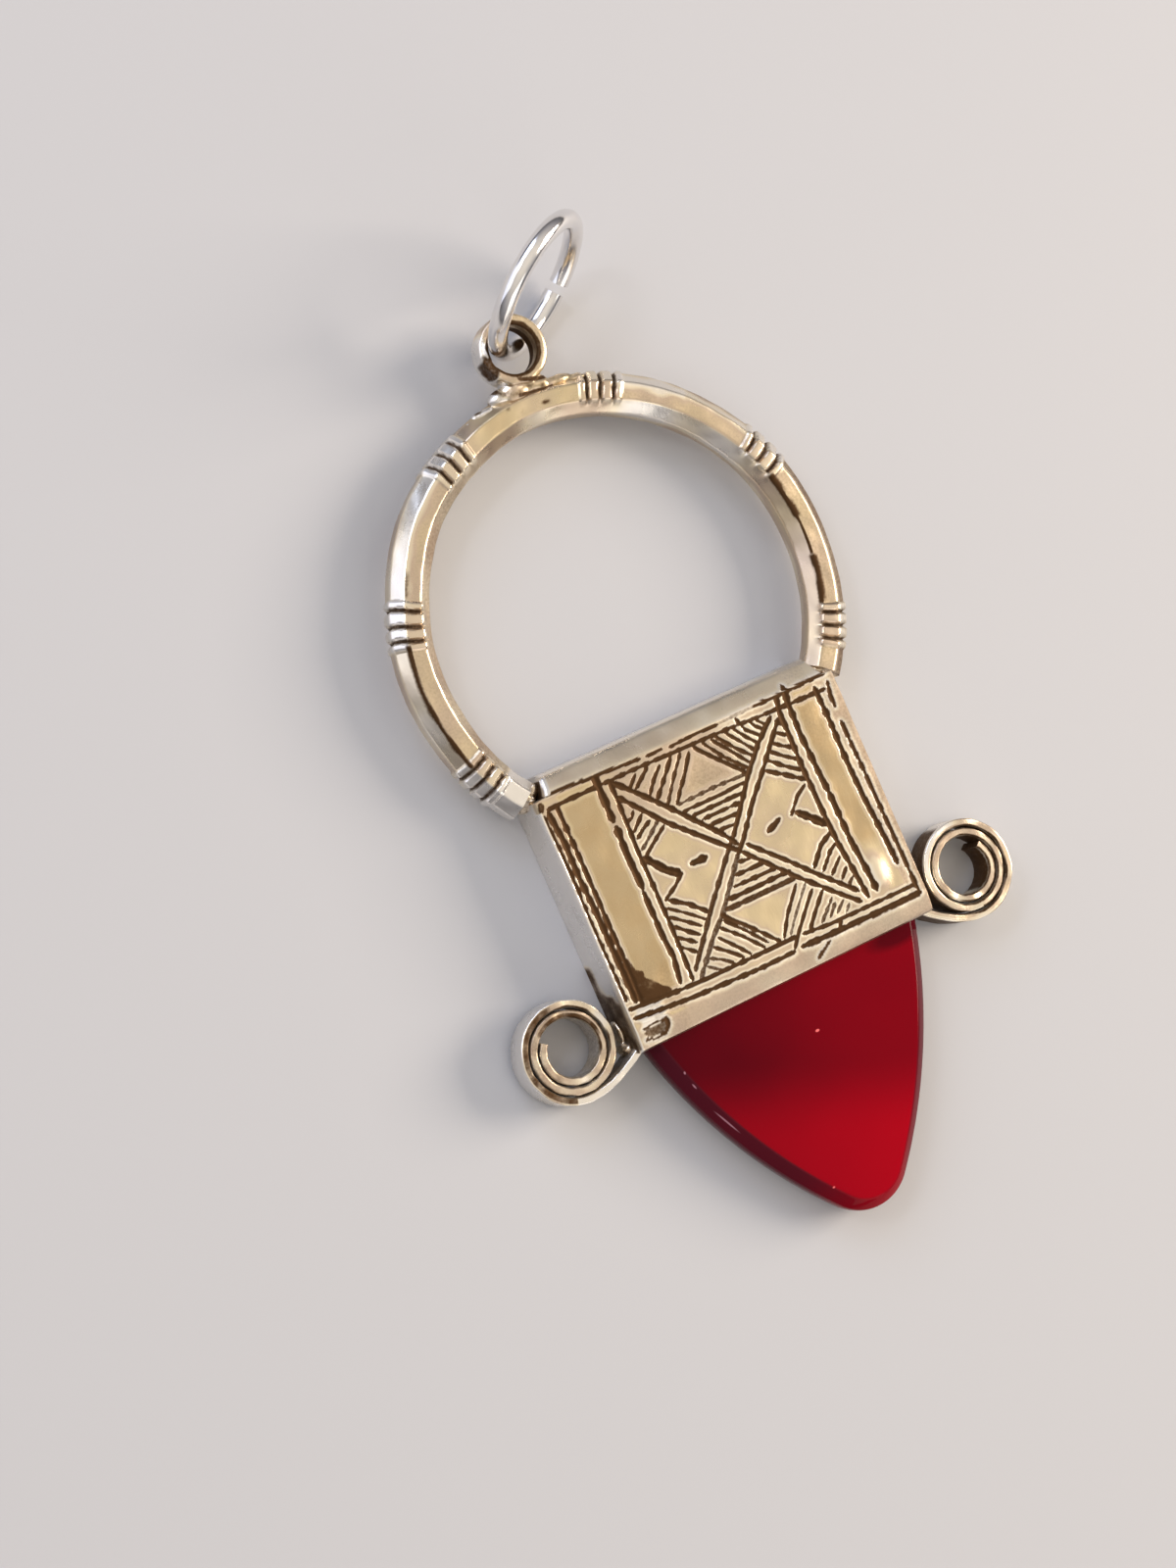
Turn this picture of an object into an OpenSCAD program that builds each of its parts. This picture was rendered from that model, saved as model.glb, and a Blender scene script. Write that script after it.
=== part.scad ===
// Engraved silver pendant: a hoop on a flat hollow box, a stone set in the box, two side coils,
// and an eye with a jump ring. It lies on its back. The origin is the middle of the box's back,
// +X is to the right, +Y is towards the eye and +Z is out of the engraved front. Millimetres.

/* [Box] */
// Width of the box
box_w = 15; // [13:0.1:18]
// Height of the box, along the pendant
box_h = 12.4; // [12:0.1:13]
// Thickness of the box
box_t = 2.7; // [2.6:0.05:3.2]
// Thickness of the silver sheet at the sides and back
wall = 0.4; // [0.3:0.05:0.5]
// Width of the sloping strip along the top edge
top_slope_w = 0.95; // [0.7:0.05:1.1]
// How far that strip slopes down
top_slope_drop = 0.55; // [0.2:0.05:0.7]
// Width of the sloping strip along the lower edge
low_slope_w = 0.9; // [0.6:0.05:1]
// How far the lower strip slopes down
low_slope_drop = 0.2; // [0.1:0.05:0.3]

/* [Engraving] */
// Width of an engraved line
line_w = 0.16; // [0.12:0.01:0.2]
// Depth of an engraved line
line_d = 0.12; // [0.05:0.01:0.15]

/* [Hoop] */
// Outer diameter of the hoop
hoop_od = 20.8; // [20.4:0.1:21.2]
// Size of the eight-sided bar across its flats
bar = 1.8; // [1.6:0.05:2]
// Height of the bar's middle above the back of the box
hoop_z = 1.4; // [1.2:0.05:1.5]
// How far the filed ridges stand out of the bar
ridge_rise = 0.06; // [0.03:0.01:0.1]
// Depth of the filed grooves
groove_d = 0.12; // [0.05:0.01:0.2]

/* [Coils] */
// Outer radius of a coil where its strip begins
coil_r = 2.36; // [2.2:0.02:2.4]
// Distance from one turn to the next
coil_pitch = 0.42; // [0.4:0.01:0.44]
// Thickness of the strip
strip_w = 0.33; // [0.28:0.01:0.34]
// Width of the strip, which stands on edge
strip_h = 1.6; // [1.4:0.05:1.8]
// Number of turns
coil_turns = 2.35; // [2.2:0.05:2.4]

/* [Stone] */
// Length of stone that shows below the box
stone_drop = 10.6; // [10:0.1:11]
// Length of stone inside the box
stone_tang = 4.2; // [3:0.1:6]
// Slope of the stone's sides where they leave the box
stone_taper = 14.8; // [14:0.1:15]
// Thickness of the stone
stone_t = 1.66; // [1.4:0.02:1.7]
// Width of the bevel around the stone
stone_bevel = 0.5; // [0.3:0.05:0.6]

/* [Jump ring] */
// Diameter of the ring's wire
wire_d = 0.86; // [0.7:0.02:0.88]
// Radius of the ring, to the middle of its wire
ring_r = 3.1; // [3.05:0.05:3.2]
// Lean of the ring from upright
ring_lean = 23.2; // [22.5:0.1:24]

/* [Hidden] */
// A small overlap between shapes that are joined, and how far a cut runs past what it cuts
eps = 0.01;
past = 1;

// Box
top_y = box_h / 2;
low_y = -box_h / 2;
shoulder_y = top_y - top_slope_w;
strip_left = -6.75;
strip_right = 6.65;
cavity_z = 0.35;
cavity_top = 2.15;
cavity_end = 4.9;
cavity_w = box_w - 2 * wall;

// Hoop
hoop_y = 11.2;
hoop_r = (hoop_od - bar) / 2;
hoop_end_left = 127;
hoop_end_right = 128;
solder_r = 0.5;
solder_x = 7.3;
solder_y = 5.42;
solder_h = bar * 0.7;
// Angle of the middle of each group of filed rings from the eye, positive to the right. A group
// is four ridges with three grooves between them, at an even pitch, all in degrees.
GROUPS = [-115, -72.5, -28.5, 18.5, 66, 116];
group_pitch = 3.6;
groove_angle = 1.5;
ridge_angle = 1.5;

// Eye
eye_x = -0.1;
eye_y = 23.2;
eye_low = 1.25;
eye_high = 2.5;
eye_hole_r = 1.05;
eye_r = 1.6;
eye_round = 0.2;
neck_w = 2.3;
neck_low_y = 21.2;
neck_high_y = 22.1;
neck_low = 1.3;
neck_high = 2.2;

// Coils
coil_x = 10.1;
coil_left_y = -4.85;
coil_right_y = -5.2;
coil_z = 0.3;
coil_steps = 40;
tail_steps = 8;
tail_end_x = 7.25;
tail_end_y = -6.05;
tail_bend = 1.35;

// Stone
stone_z = 0.42;
girdle_low = stone_z + stone_t * 0.2;
girdle_high = stone_z + stone_t * 0.72;
stone_half = cavity_w / 2 - 0.12;
stone_side_r = 24;
side_middle = [
    stone_half - stone_side_r * cos(stone_taper),
    low_y + stone_side_r * sin(stone_taper)];
tip_reach = side_middle[1] - low_y + stone_drop;
tip_r = (pow(stone_side_r, 2) - pow(side_middle[0], 2) - pow(tip_reach, 2))
    / (2 * (stone_side_r - tip_reach));
tip_y = low_y - stone_drop + tip_r;
stone_join = atan2(side_middle[1] - tip_y, -side_middle[0]);
side_steps = 10;
tip_steps = 5;

// Jump ring
ring_x = 1.66;
ring_y = 25.23;
ring_turn = 32.1;
ring_cut_from = 297;
ring_cut_to = 305;

// Engraved lines: x and y of the start and of the end. The four ruled sides of the panel come
// first, then the double cross.
RULES = [
    [-7.0, 5.2, 7.0, 5.2], [-7.1, 4.75, 6.7, 4.6],
    [-7.3, -4.4, 7.1, -4.75], [-7.3, -4.85, 7.1, -5.25],
    [-7.3, 4.5, -7.3, -3.9], [-7.0, 4.6, -6.95, -4.2], [-6.65, 4.65, -6.68, -4.2],
    [-4.6, 5.1, -4.65, -4.3], [-4.1, 4.8, -4.18, -4.3],
    [4.42, 5.0, 4.75, -4.4], [4.95, 5.3, 5.25, -4.4],
    [6.42, 4.8, 6.68, -3.7], [6.98, 4.8, 7.1, -5.2],
    [-4.0, 4.7, 4.5, -4.0], [-4.0, 4.0, 4.4, -4.45],
    [-3.9, -3.9, 3.9, 4.45], [-3.8, -4.4, 4.2, 4.2]];

// Hatching, a row for each block: the block's first line, its last line and its number of lines
HATCHES = [
    [[-2.85, 4.6, -3.35, 4.15], [-0.2, 4.5, -1.6, 2.7], 6],
    [[0.05, 4.65, 1.85, 2.7], [3.25, 4.6, 3.6, 4.2], 9],
    [[-1.6, 2.65, 1.9, 2.65], [-0.35, 0.95, 0.35, 0.9], 6],
    [[-4.0, 2.9, -3.65, 3.2], [-3.9, 1.25, -2.6, 2.1], 5],
    [[-3.7, -0.85, -2.3, -2.0], [-4.1, -2.85, -3.5, -3.3], 6],
    [[3.85, 3.75, 4.25, 3.45], [2.7, 2.45, 4.25, 1.35], 5],
    [[3.0, -2.25, 4.3, -1.15], [4.2, -3.55, 4.45, -3.3], 5],
    [[-0.1, -0.65, 0.35, -0.7], [-1.5, -2.25, 2.0, -2.3], 5],
    [[-1.85, -2.35, 0.2, -4.4], [-3.35, -4.1, -2.7, -4.55], 7],
    [[0.4, -4.4, 1.9, -2.55], [3.55, -4.6, 3.85, -4.3], 8]];

// Notches of the two plain kites left and right of the cross
NOTCHES = [
    [-4.0, 1.2, -2.8, -0.05], [-2.8, -0.05, -3.9, -0.8],
    [4.1, 1.15, 3.05, 0.25], [3.1, 0.2, 4.2, -0.7]];

// One engraved line, drawn on the front as a narrow bar
module engraved_line(line) {
    run = [line[2] - line[0], line[3] - line[1]];
    translate([line[0], line[1]])
        rotate([0, 0, atan2(run[1], run[0])])
            translate([0, -line_w / 2])
                square([norm(run), line_w]);
}

module engraving() {
    translate([0, 0, box_t - line_d])
        linear_extrude(height = 2 * line_d) {
            for (line = RULES) engraved_line(line);
            for (line = NOTCHES) engraved_line(line);
            for (block = HATCHES)
                for (i = [0 : block[2] - 1])
                    engraved_line(block[0] + (block[1] - block[0]) * i / (block[2] - 1));
        }
}

// The box: a flat sleeve, closed at the top, with a narrower sloping strip along its top edge
module socket_box() {
    difference() {
        union() {
            translate([-box_w / 2, 0, 0])
                rotate([90, 0, 90])
                    linear_extrude(height = box_w)
                        polygon([
                            [low_y, 0], [shoulder_y, 0], [shoulder_y, box_t],
                            [low_y + low_slope_w, box_t], [low_y, box_t - low_slope_drop]]);
            translate([strip_left, 0, 0])
                rotate([90, 0, 90])
                    linear_extrude(height = strip_right - strip_left)
                        polygon([
                            [shoulder_y - eps, 0], [top_y, 0],
                            [top_y, box_t - top_slope_drop], [shoulder_y, box_t],
                            [shoulder_y - eps, box_t]]);
        }
        translate([-cavity_w / 2, low_y - eps, cavity_z])
            cube([cavity_w, cavity_end - low_y + eps, cavity_top - cavity_z]);
        engraving();
    }
}

// Section of the eight-sided bar, at the hoop's radius, grown by a small amount
module bar_section(grow = 0) {
    flat_r = (bar / 2 + grow) / cos(22.5);
    translate([hoop_r, 0])
        polygon([for (i = [0 : 7]) [flat_r * cos(22.5 + 45 * i), flat_r * sin(22.5 + 45 * i)]]);
}

// A stretch of the hoop, from one angle to another, measured from the eye towards the right
module hoop_stretch(from, to) {
    translate([0, hoop_y, hoop_z])
        rotate([0, 0, 90 - to])
            rotate_extrude(angle = to - from, $fn = 96)
                children();
}

module hoop() {
    difference() {
        hoop_stretch(-hoop_end_left, hoop_end_right) bar_section();
        for (middle = GROUPS)
            for (i = [-1 : 1])
                hoop_stretch(
                    middle + i * group_pitch - groove_angle / 2,
                    middle + i * group_pitch + groove_angle / 2)
                    difference() {
                        translate([hoop_r, 0])
                            square([2 * bar, 2 * bar], center = true);
                        bar_section(-groove_d);
                    }
    }
    for (middle = GROUPS)
        for (i = [-1.5 : 1 : 1.5])
            hoop_stretch(
                middle + i * group_pitch - ridge_angle / 2,
                middle + i * group_pitch + ridge_angle / 2)
                bar_section(ridge_rise);
}

// Solder that joins an end of the hoop to the shoulder of the box
module hoop_solder() {
    for (side = [-1, 1])
        translate([side * solder_x, solder_y, hoop_z - bar / 2])
            cylinder(r = solder_r, h = solder_h, $fn = 32);
}

// The eye: a short tube with rounded rims, and the solder under it
module eye() {
    difference() {
        union() {
            translate([eye_x, eye_y, 0])
                rotate_extrude($fn = 64)
                    polygon([
                        [eye_hole_r / 2, eye_low], [eye_r - eye_round, eye_low],
                        [eye_r, eye_low + eye_round], [eye_r, eye_high - eye_round],
                        [eye_r - eye_round, eye_high], [eye_hole_r / 2, eye_high]]);
            translate([eye_x - neck_w / 2, neck_low_y, neck_low])
                cube([neck_w, neck_high_y - neck_low_y, neck_high - neck_low]);
        }
        translate([eye_x, eye_y, 0])
            rotate_extrude($fn = 64)
                polygon([
                    [0, eye_low - past], [eye_hole_r + eye_round + past, eye_low - past],
                    [eye_hole_r + eye_round, eye_low], [eye_hole_r, eye_low + eye_round],
                    [eye_hole_r, eye_high - eye_round], [eye_hole_r + eye_round, eye_high],
                    [eye_hole_r + eye_round + past, eye_high + past], [0, eye_high + past]]);
    }
}

// Middle line of the coiled strip after a number of turns, for a coil left of the box. The strip
// leaves the bottom of the coil towards the box and winds inwards, clockwise.
function spiral_r(turn) = coil_r - strip_w / 2 - coil_pitch * turn;
function spiral_point(turn, push) =
    (spiral_r(turn) + push) * [-sin(360 * turn), -cos(360 * turn)];

// The tail: a bend from the bottom of the coil to the corner of the box
function bend(a, b, c, s) = (1 - s) * (1 - s) * a + 2 * s * (1 - s) * b + s * s * c;
function bend_way(a, b, c, s) = (1 - s) * (b - a) + s * (c - b);
function side_of(way) = [-way[1], way[0]] / norm(way);

module coil(centre_y) {
    start = [0, -(coil_r - strip_w / 2)];
    middle = [tail_bend, start[1]];
    end = [coil_x - tail_end_x, tail_end_y - centre_y];
    total = ceil(coil_turns * coil_steps);
    outer = [for (i = [0 : total]) spiral_point(coil_turns * i / total, strip_w / 2)];
    inner = [for (i = [0 : total]) spiral_point(coil_turns * i / total, -strip_w / 2)];
    low = [for (i = [1 : tail_steps])
        bend(start, middle, end, i / tail_steps)
        - side_of(bend_way(start, middle, end, i / tail_steps)) * strip_w / 2];
    high = [for (i = [1 : tail_steps])
        bend(start, middle, end, i / tail_steps)
        + side_of(bend_way(start, middle, end, i / tail_steps)) * strip_w / 2];
    reversed_low = [for (i = [tail_steps - 1 : -1 : 0]) low[i]];
    reversed_inner = [for (i = [total : -1 : 0]) inner[i]];
    translate([-coil_x, centre_y, coil_z])
        linear_extrude(height = strip_h)
            polygon(concat(reversed_low, outer, reversed_inner, high));
}

module silver_frame() {
    color("#cbbfa9")
        union() {
            socket_box();
            hoop();
            hoop_solder();
            eye();
            coil(coil_left_y);
            mirror([1, 0, 0]) coil(coil_right_y);
        }
}

// Outline of the stone, drawn in by an amount: a straight tang, two long arcs that start at the
// lower edge of the box, and a round tip that both arcs run into
function arc_point(centre, radius, angle) = centre + radius * [cos(angle), -sin(angle)];
function stone_outline(inset) = let (
    side = [for (i = [0 : side_steps])
        arc_point(side_middle, stone_side_r - inset,
            stone_taper + (stone_join - stone_taper) * i / side_steps)],
    tip = [for (i = [1 : tip_steps])
        arc_point([0, tip_y], tip_r - inset,
            stone_join + (90 - stone_join) * i / tip_steps)],
    right = concat([[stone_half - inset, low_y + stone_tang - inset]], side, tip),
    left = [for (i = [len(right) - 2 : -1 : 0]) [-right[i][0], right[i][1]]])
    concat(right, left);

module stone_layer(inset, low, high) {
    translate([0, 0, low])
        linear_extrude(height = high - low)
            polygon(stone_outline(inset));
}

module stone() {
    color("#9c0a16")
        hull() {
            stone_layer(stone_bevel / 2, stone_z, stone_z + eps);
            stone_layer(0, girdle_low, girdle_high);
            stone_layer(stone_bevel, stone_z + stone_t - eps, stone_z + stone_t);
        }
}

// The jump ring: round wire with a small open cut. It stands on the surface and passes through
// the eye.
module jump_ring() {
    color("#d5d2cc")
        translate([ring_x, ring_y, wire_d / 2 + ring_r * cos(ring_lean)])
            rotate([0, 0, ring_turn])
                rotate([90 - ring_lean, 0, 0])
                    rotate([0, 0, ring_cut_to])
                        rotate_extrude(angle = 360 - ring_cut_to + ring_cut_from, $fn = 96)
                            translate([ring_r, 0])
                                circle(d = wire_d, $fn = 32);
}

silver_frame();
stone();
jump_ring();
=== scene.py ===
"""Tuareg cross pendant: the looks of a hand-made silver pendant with a red stone, lying on its back.

Sizes in the tables are millimetres, and a size property is held in metres. The origin is the middle
of the box's back, +X is to the right, +Y is towards the eye and +Z is out of the engraved front, as
in the fixed frame.
"""

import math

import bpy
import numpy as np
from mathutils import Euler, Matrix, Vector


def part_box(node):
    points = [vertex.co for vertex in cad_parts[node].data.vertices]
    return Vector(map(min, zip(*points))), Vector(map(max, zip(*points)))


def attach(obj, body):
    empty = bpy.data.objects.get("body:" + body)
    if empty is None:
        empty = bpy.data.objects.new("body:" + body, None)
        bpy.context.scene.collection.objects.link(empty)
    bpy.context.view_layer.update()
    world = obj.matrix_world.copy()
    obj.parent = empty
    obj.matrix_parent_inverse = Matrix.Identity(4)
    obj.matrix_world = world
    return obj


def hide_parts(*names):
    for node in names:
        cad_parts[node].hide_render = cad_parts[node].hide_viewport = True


bl_info = {
    "name": "Tuareg Cross Pendant",
    "version": (1, 0, 0),
    "blender": (4, 5, 0),
    "location": "3D View > Sidebar > Pendant",
    "description": "Builds an engraved silver pendant with a red stone",
    "category": "Add Mesh",
}

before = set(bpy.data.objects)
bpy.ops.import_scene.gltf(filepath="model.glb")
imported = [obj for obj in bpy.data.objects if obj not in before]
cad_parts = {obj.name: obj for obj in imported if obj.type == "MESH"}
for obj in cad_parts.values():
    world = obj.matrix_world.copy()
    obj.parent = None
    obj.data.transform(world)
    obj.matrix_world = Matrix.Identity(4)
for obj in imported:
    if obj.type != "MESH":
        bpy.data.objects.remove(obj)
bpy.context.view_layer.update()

MM = 0.001
FRAME_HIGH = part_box("silver_frame")[1] / MM
STONE_LOW, STONE_HIGH = (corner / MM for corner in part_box("stone"))

# The photograph's camera: its place in millimetres and its turn in degrees
CAMERA_PLACE = (-48.204, 8.657, 118.317)
CAMERA_TURN = (7.003, -19.376, -25.114)
CAMERA_LENS = 90.0
CAMERA_SENSOR = 36.0

# Most values of a noise texture lie between these two
NOISE_SPAN = {"From Min": 0.3, "From Max": 0.7}

# Engraved strokes, charted on the front of the box. A row is the width of the cut, its
# depth as a share of the full depth, and the points that it runs through. y is measured from the
# middle of the hoop, so it is negative all over the box.
RULED_LINES = (
    (0.14, 0.9, (-7.0, -5.9), (-5.9, -5.92), (-2.4, -6.1)),
    (0.13, 0.8, (-2.1, -6.12), (-1.3, -6.1)),
    (0.13, 0.8, (-0.95, -6.17), (0.4, -6.1), (1.5, -6.13)),
    (0.12, 0.25, (1.5, -6.1), (3.4, -6.05)),
    (0.15, 0.8, (3.4, -6.05), (5.0, -6.05), (7.1, -5.98)),
    (0.18, 1.0, (-7.1, -6.47), (-5.9, -6.43), (-4.4, -6.43)),
    (0.16, 0.9, (-4.4, -6.43), (-3.0, -6.4), (2.0, -6.48)),
    (0.14, 0.7, (2.0, -6.48), (3.7, -6.55)),
    (0.18, 1.0, (3.7, -6.55), (5.6, -6.6), (6.8, -6.62)),
    (0.17, 1.0, (-7.35, -15.5), (-5.5, -15.65), (-3.5, -15.75), (1.0, -15.8)),
    (0.16, 0.9, (1.3, -15.82), (2.7, -15.95), (7.1, -16.0)),
    (0.18, 0.9, (-7.3, -15.93), (-5.6, -16.1), (-4.5, -16.2), (-1.0, -16.35), (0.6, -16.35)),
    (0.24, 1.0, (1.0, -16.3), (2.5, -16.35), (4.0, -16.38), (7.15, -16.42)),
)
UPRIGHT_LINES = (
    (0.17, 0.9, (-7.37, -6.7), (-7.3, -9.5), (-7.35, -11.5), (-7.3, -15.1)),
    (0.26, 0.8, (-7.12, -6.6), (-7.0, -8.0), (-7.03, -9.5), (-6.95, -11.5), (-6.92, -15.3)),
    (0.2, 1.0, (-6.67, -6.5), (-6.65, -9.0), (-6.65, -13.0), (-6.7, -15.4)),
    (0.32, 1.0, (-4.6, -6.0), (-4.62, -8.02)),
    (0.3, 1.0, (-4.6, -8.35), (-4.65, -9.5), (-4.62, -11.1)),
    (0.24, 1.0, (-4.65, -11.28), (-4.65, -13.4), (-4.58, -14.3), (-4.75, -15.4)),
    (0.19, 1.0, (-4.05, -6.4), (-4.1, -8.6), (-4.15, -9.8), (-4.12, -13.0), (-4.18, -15.5)),
    (0.24, 0.8, (4.55, -6.1), (4.42, -6.6), (4.38, -9.0), (4.4, -11.3), (4.5, -13.0), (4.8, -15.6)),
    (0.26, 0.9, (5.05, -5.78), (4.95, -6.5), (4.9, -8.0), (5.05, -11.0), (5.1, -13.0), (5.3, -15.5)),
    (0.24, 1.0, (6.4, -6.4), (6.45, -8.0), (6.42, -10.0), (6.47, -11.5), (6.6, -13.0), (6.7, -14.8)),
    (0.16, 0.9, (7.08, -6.38), (6.95, -7.0), (6.95, -7.5)),
    (0.17, 1.0, (6.93, -8.2), (6.98, -10.0), (7.05, -13.5), (7.12, -16.42)),
)
CROSS_LINES = (
    (0.22, 1.0, (-4.0, -6.5), (-3.1, -7.4), (-2.0, -8.55), (-0.3, -10.45), (0.15, -11.1)),
    (0.2, 1.0, (0.55, -11.3), (2.0, -12.7), (3.1, -13.85), (4.5, -15.2)),
    (0.22, 1.0, (-4.0, -7.2), (-2.4, -9.05), (-0.3, -11.05), (0.2, -11.5)),
    (0.2, 1.0, (0.2, -11.5), (2.0, -13.4), (3.4, -14.75), (4.4, -15.65)),
    (0.2, 0.7, (-3.9, -15.2), (-2.1, -13.1), (-0.3, -11.15), (0.1, -10.8)),
    (0.2, 0.8, (0.1, -10.8), (1.1, -9.6), (1.9, -8.6), (2.9, -7.6), (3.95, -6.75)),
    (0.2, 0.6, (-3.8, -15.6), (-2.6, -14.3), (-1.7, -13.5), (0.0, -11.5)),
    (0.2, 0.8, (0.0, -11.5), (0.5, -11.05), (1.5, -9.85), (2.6, -8.7), (4.2, -7.0)),
)
TOP_HATCHING = (
    (0.15, 0.8, (-2.85, -6.6), (-3.35, -7.08)),
    (0.16, 0.9, (-2.25, -6.55), (-3.07, -7.17)),
    (0.15, 0.9, (-1.7, -6.7), (-2.15, -7.1), (-2.65, -7.7)),
    (0.17, 1.0, (-1.05, -6.55), (-1.7, -7.25), (-2.4, -7.98)),
    (0.14, 0.7, (-0.6, -6.6), (-1.3, -7.4), (-2.12, -8.45)),
    (0.16, 0.9, (-0.2, -6.7), (-0.8, -7.5), (-1.3, -8.05), (-1.65, -8.5)),
    (0.18, 1.0, (0.08, -6.6), (0.9, -7.5), (1.85, -8.5)),
    (0.15, 0.9, (0.55, -6.6), (1.2, -7.5), (2.05, -8.4)),
    (0.15, 0.9, (0.95, -6.6), (1.6, -7.4), (2.2, -8.2)),
    (0.17, 1.0, (1.2, -6.55), (1.8, -7.3), (2.47, -8.0)),
    (0.15, 0.9, (1.7, -6.6), (2.2, -7.2), (2.65, -7.8)),
    (0.15, 0.9, (2.1, -6.55), (2.5, -7.1), (2.95, -7.6)),
    (0.15, 0.9, (2.4, -6.25), (2.6, -6.8), (3.17, -7.32)),
    (0.15, 0.9, (2.9, -6.5), (3.1, -6.85), (3.4, -7.1)),
    (0.15, 0.8, (3.25, -6.6), (3.6, -7.0)),
    (0.14, 0.6, (-1.6, -8.55), (0.2, -8.5), (1.9, -8.55)),
    (0.15, 0.8, (-1.5, -8.9), (0.5, -8.9), (1.3, -8.85), (1.65, -8.87)),
    (0.16, 0.9, (-1.2, -9.22), (1.35, -9.22)),
    (0.15, 0.9, (-0.85, -9.55), (1.1, -9.55)),
    (0.17, 0.9, (-0.65, -9.9), (0.75, -9.93)),
    (0.15, 0.8, (-0.35, -10.25), (0.35, -10.3)),
)
SIDE_HATCHING = (
    (0.14, 0.8, (-4.05, -8.3), (-3.8, -8.25), (-3.63, -8.02)),
    (0.15, 0.9, (-3.95, -8.82), (-3.3, -8.25)),
    (0.16, 0.9, (-3.9, -9.12), (-3.5, -8.85), (-3.08, -8.65)),
    (0.15, 0.6, (-3.95, -9.65), (-3.3, -9.2), (-2.75, -8.78)),
    (0.15, 0.8, (-3.9, -9.95), (-3.3, -9.55), (-2.6, -9.1)),
    (0.2, 1.0, (-3.75, -12.05), (-3.0, -12.55), (-2.3, -13.2)),
    (0.13, 0.9, (-4.0, -12.3), (-3.2, -12.9), (-2.55, -13.45)),
    (0.15, 0.9, (-4.0, -12.72), (-2.85, -13.62)),
    (0.17, 1.0, (-4.0, -13.15), (-3.5, -13.6), (-3.05, -13.95)),
    (0.15, 0.9, (-4.1, -13.6), (-3.3, -14.2)),
    (0.15, 0.9, (-4.1, -14.05), (-3.5, -14.55)),
    (0.13, 0.7, (4.1, -7.1), (4.3, -7.3)),
    (0.15, 0.9, (3.85, -7.45), (4.3, -7.78)),
    (0.17, 1.0, (3.5, -7.8), (3.9, -8.1), (4.3, -8.35)),
    (0.17, 1.0, (3.25, -8.1), (3.8, -8.55), (4.3, -8.9)),
    (0.18, 1.0, (3.0, -8.42), (3.7, -9.0), (4.3, -9.4)),
    (0.2, 1.0, (2.7, -8.78), (3.5, -9.3), (4.28, -9.85)),
    (0.2, 1.0, (3.0, -13.45), (3.7, -12.7), (4.35, -12.38)),
    (0.15, 0.9, (3.3, -13.78), (4.0, -13.1), (4.4, -12.88)),
    (0.15, 0.8, (3.65, -14.05), (4.3, -13.5)),
    (0.17, 0.9, (4.0, -14.4), (4.38, -14.03)),
    (0.13, 0.7, (4.2, -14.75), (4.5, -14.5)),
)
LOW_HATCHING = (
    (0.15, 0.9, (-0.15, -11.85), (0.4, -11.9)),
    (0.17, 1.0, (-0.5, -12.3), (0.9, -12.33)),
    (0.16, 0.9, (-0.75, -12.72), (1.4, -12.76)),
    (0.19, 1.0, (-1.25, -13.12), (1.9, -13.12)),
    (0.22, 0.7, (-1.5, -13.47), (2.0, -13.5)),
    (0.17, 1.0, (-1.85, -13.55), (-0.9, -14.5), (0.2, -15.7)),
    (0.14, 0.9, (-1.85, -13.82), (-1.1, -14.6), (-0.35, -15.5)),
    (0.15, 1.0, (-2.1, -14.05), (-1.3, -14.8), (-0.6, -15.6)),
    (0.16, 0.9, (-2.35, -14.4), (-1.9, -14.9), (-1.3, -15.6)),
    (0.16, 0.9, (-2.7, -14.7), (-2.2, -15.1), (-1.65, -15.6)),
    (0.14, 0.7, (-3.05, -15.05), (-2.6, -15.3), (-2.15, -15.65)),
    (0.13, 0.6, (-3.35, -15.3), (-2.7, -15.75)),
    (0.15, 0.8, (0.42, -15.6), (1.0, -14.75), (1.9, -13.75)),
    (0.11, 0.5, (0.75, -15.6), (1.3, -14.95), (2.3, -13.9)),
    (0.15, 0.8, (0.65, -16.25), (1.1, -15.7), (1.9, -14.85), (2.5, -14.25)),
    (0.17, 0.8, (1.7, -15.75), (2.3, -15.1), (2.9, -14.5)),
    (0.14, 0.6, (2.3, -15.75), (3.2, -14.95)),
    (0.13, 0.6, (2.75, -15.7), (3.25, -15.2)),
    (0.13, 0.6, (3.15, -15.65), (3.65, -15.25)),
    (0.12, 0.5, (3.55, -15.8), (3.85, -15.5)),
    (0.13, 0.9, (1.55, -17.05), (1.9, -16.85), (2.3, -16.6)),
    (0.16, 0.8, (2.9, -16.35), (3.2, -16.0)),
)
NOTCH_CUTS = (
    (0.34, 1.2, (-4.0, -10.0), (-3.3, -10.85), (-2.75, -11.25)),
    (0.15, 0.9, (-2.75, -11.25), (-3.2, -11.6), (-3.9, -12.0)),
    (0.15, 0.8, (4.15, -10.03), (3.6, -10.35), (3.0, -10.97)),
    (0.34, 1.2, (3.3, -11.0), (3.7, -11.35), (4.3, -11.95)),
    (0.28, 1.1, (-2.15, -11.05), (-1.8, -11.07), (-1.4, -11.05)),
    (0.24, 0.9, (1.7, -11.2), (2.1, -11.05), (2.42, -10.9)),
)
CORNER_MARK = (
    (0.07, 0.7, (-7.12, -16.5), (-6.55, -16.46), (-5.98, -16.5)),
    (0.17, 1.0, (-5.97, -16.46), (-5.96, -16.75), (-6.15, -17.0)),
    (0.1, 0.8, (-6.1, -17.02), (-6.6, -17.1), (-7.15, -16.98)),
)
STROKES = (
    RULED_LINES + UPRIGHT_LINES + CROSS_LINES + TOP_HATCHING + SIDE_HATCHING + LOW_HATCHING
    + NOTCH_CUTS + CORNER_MARK
)

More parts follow.
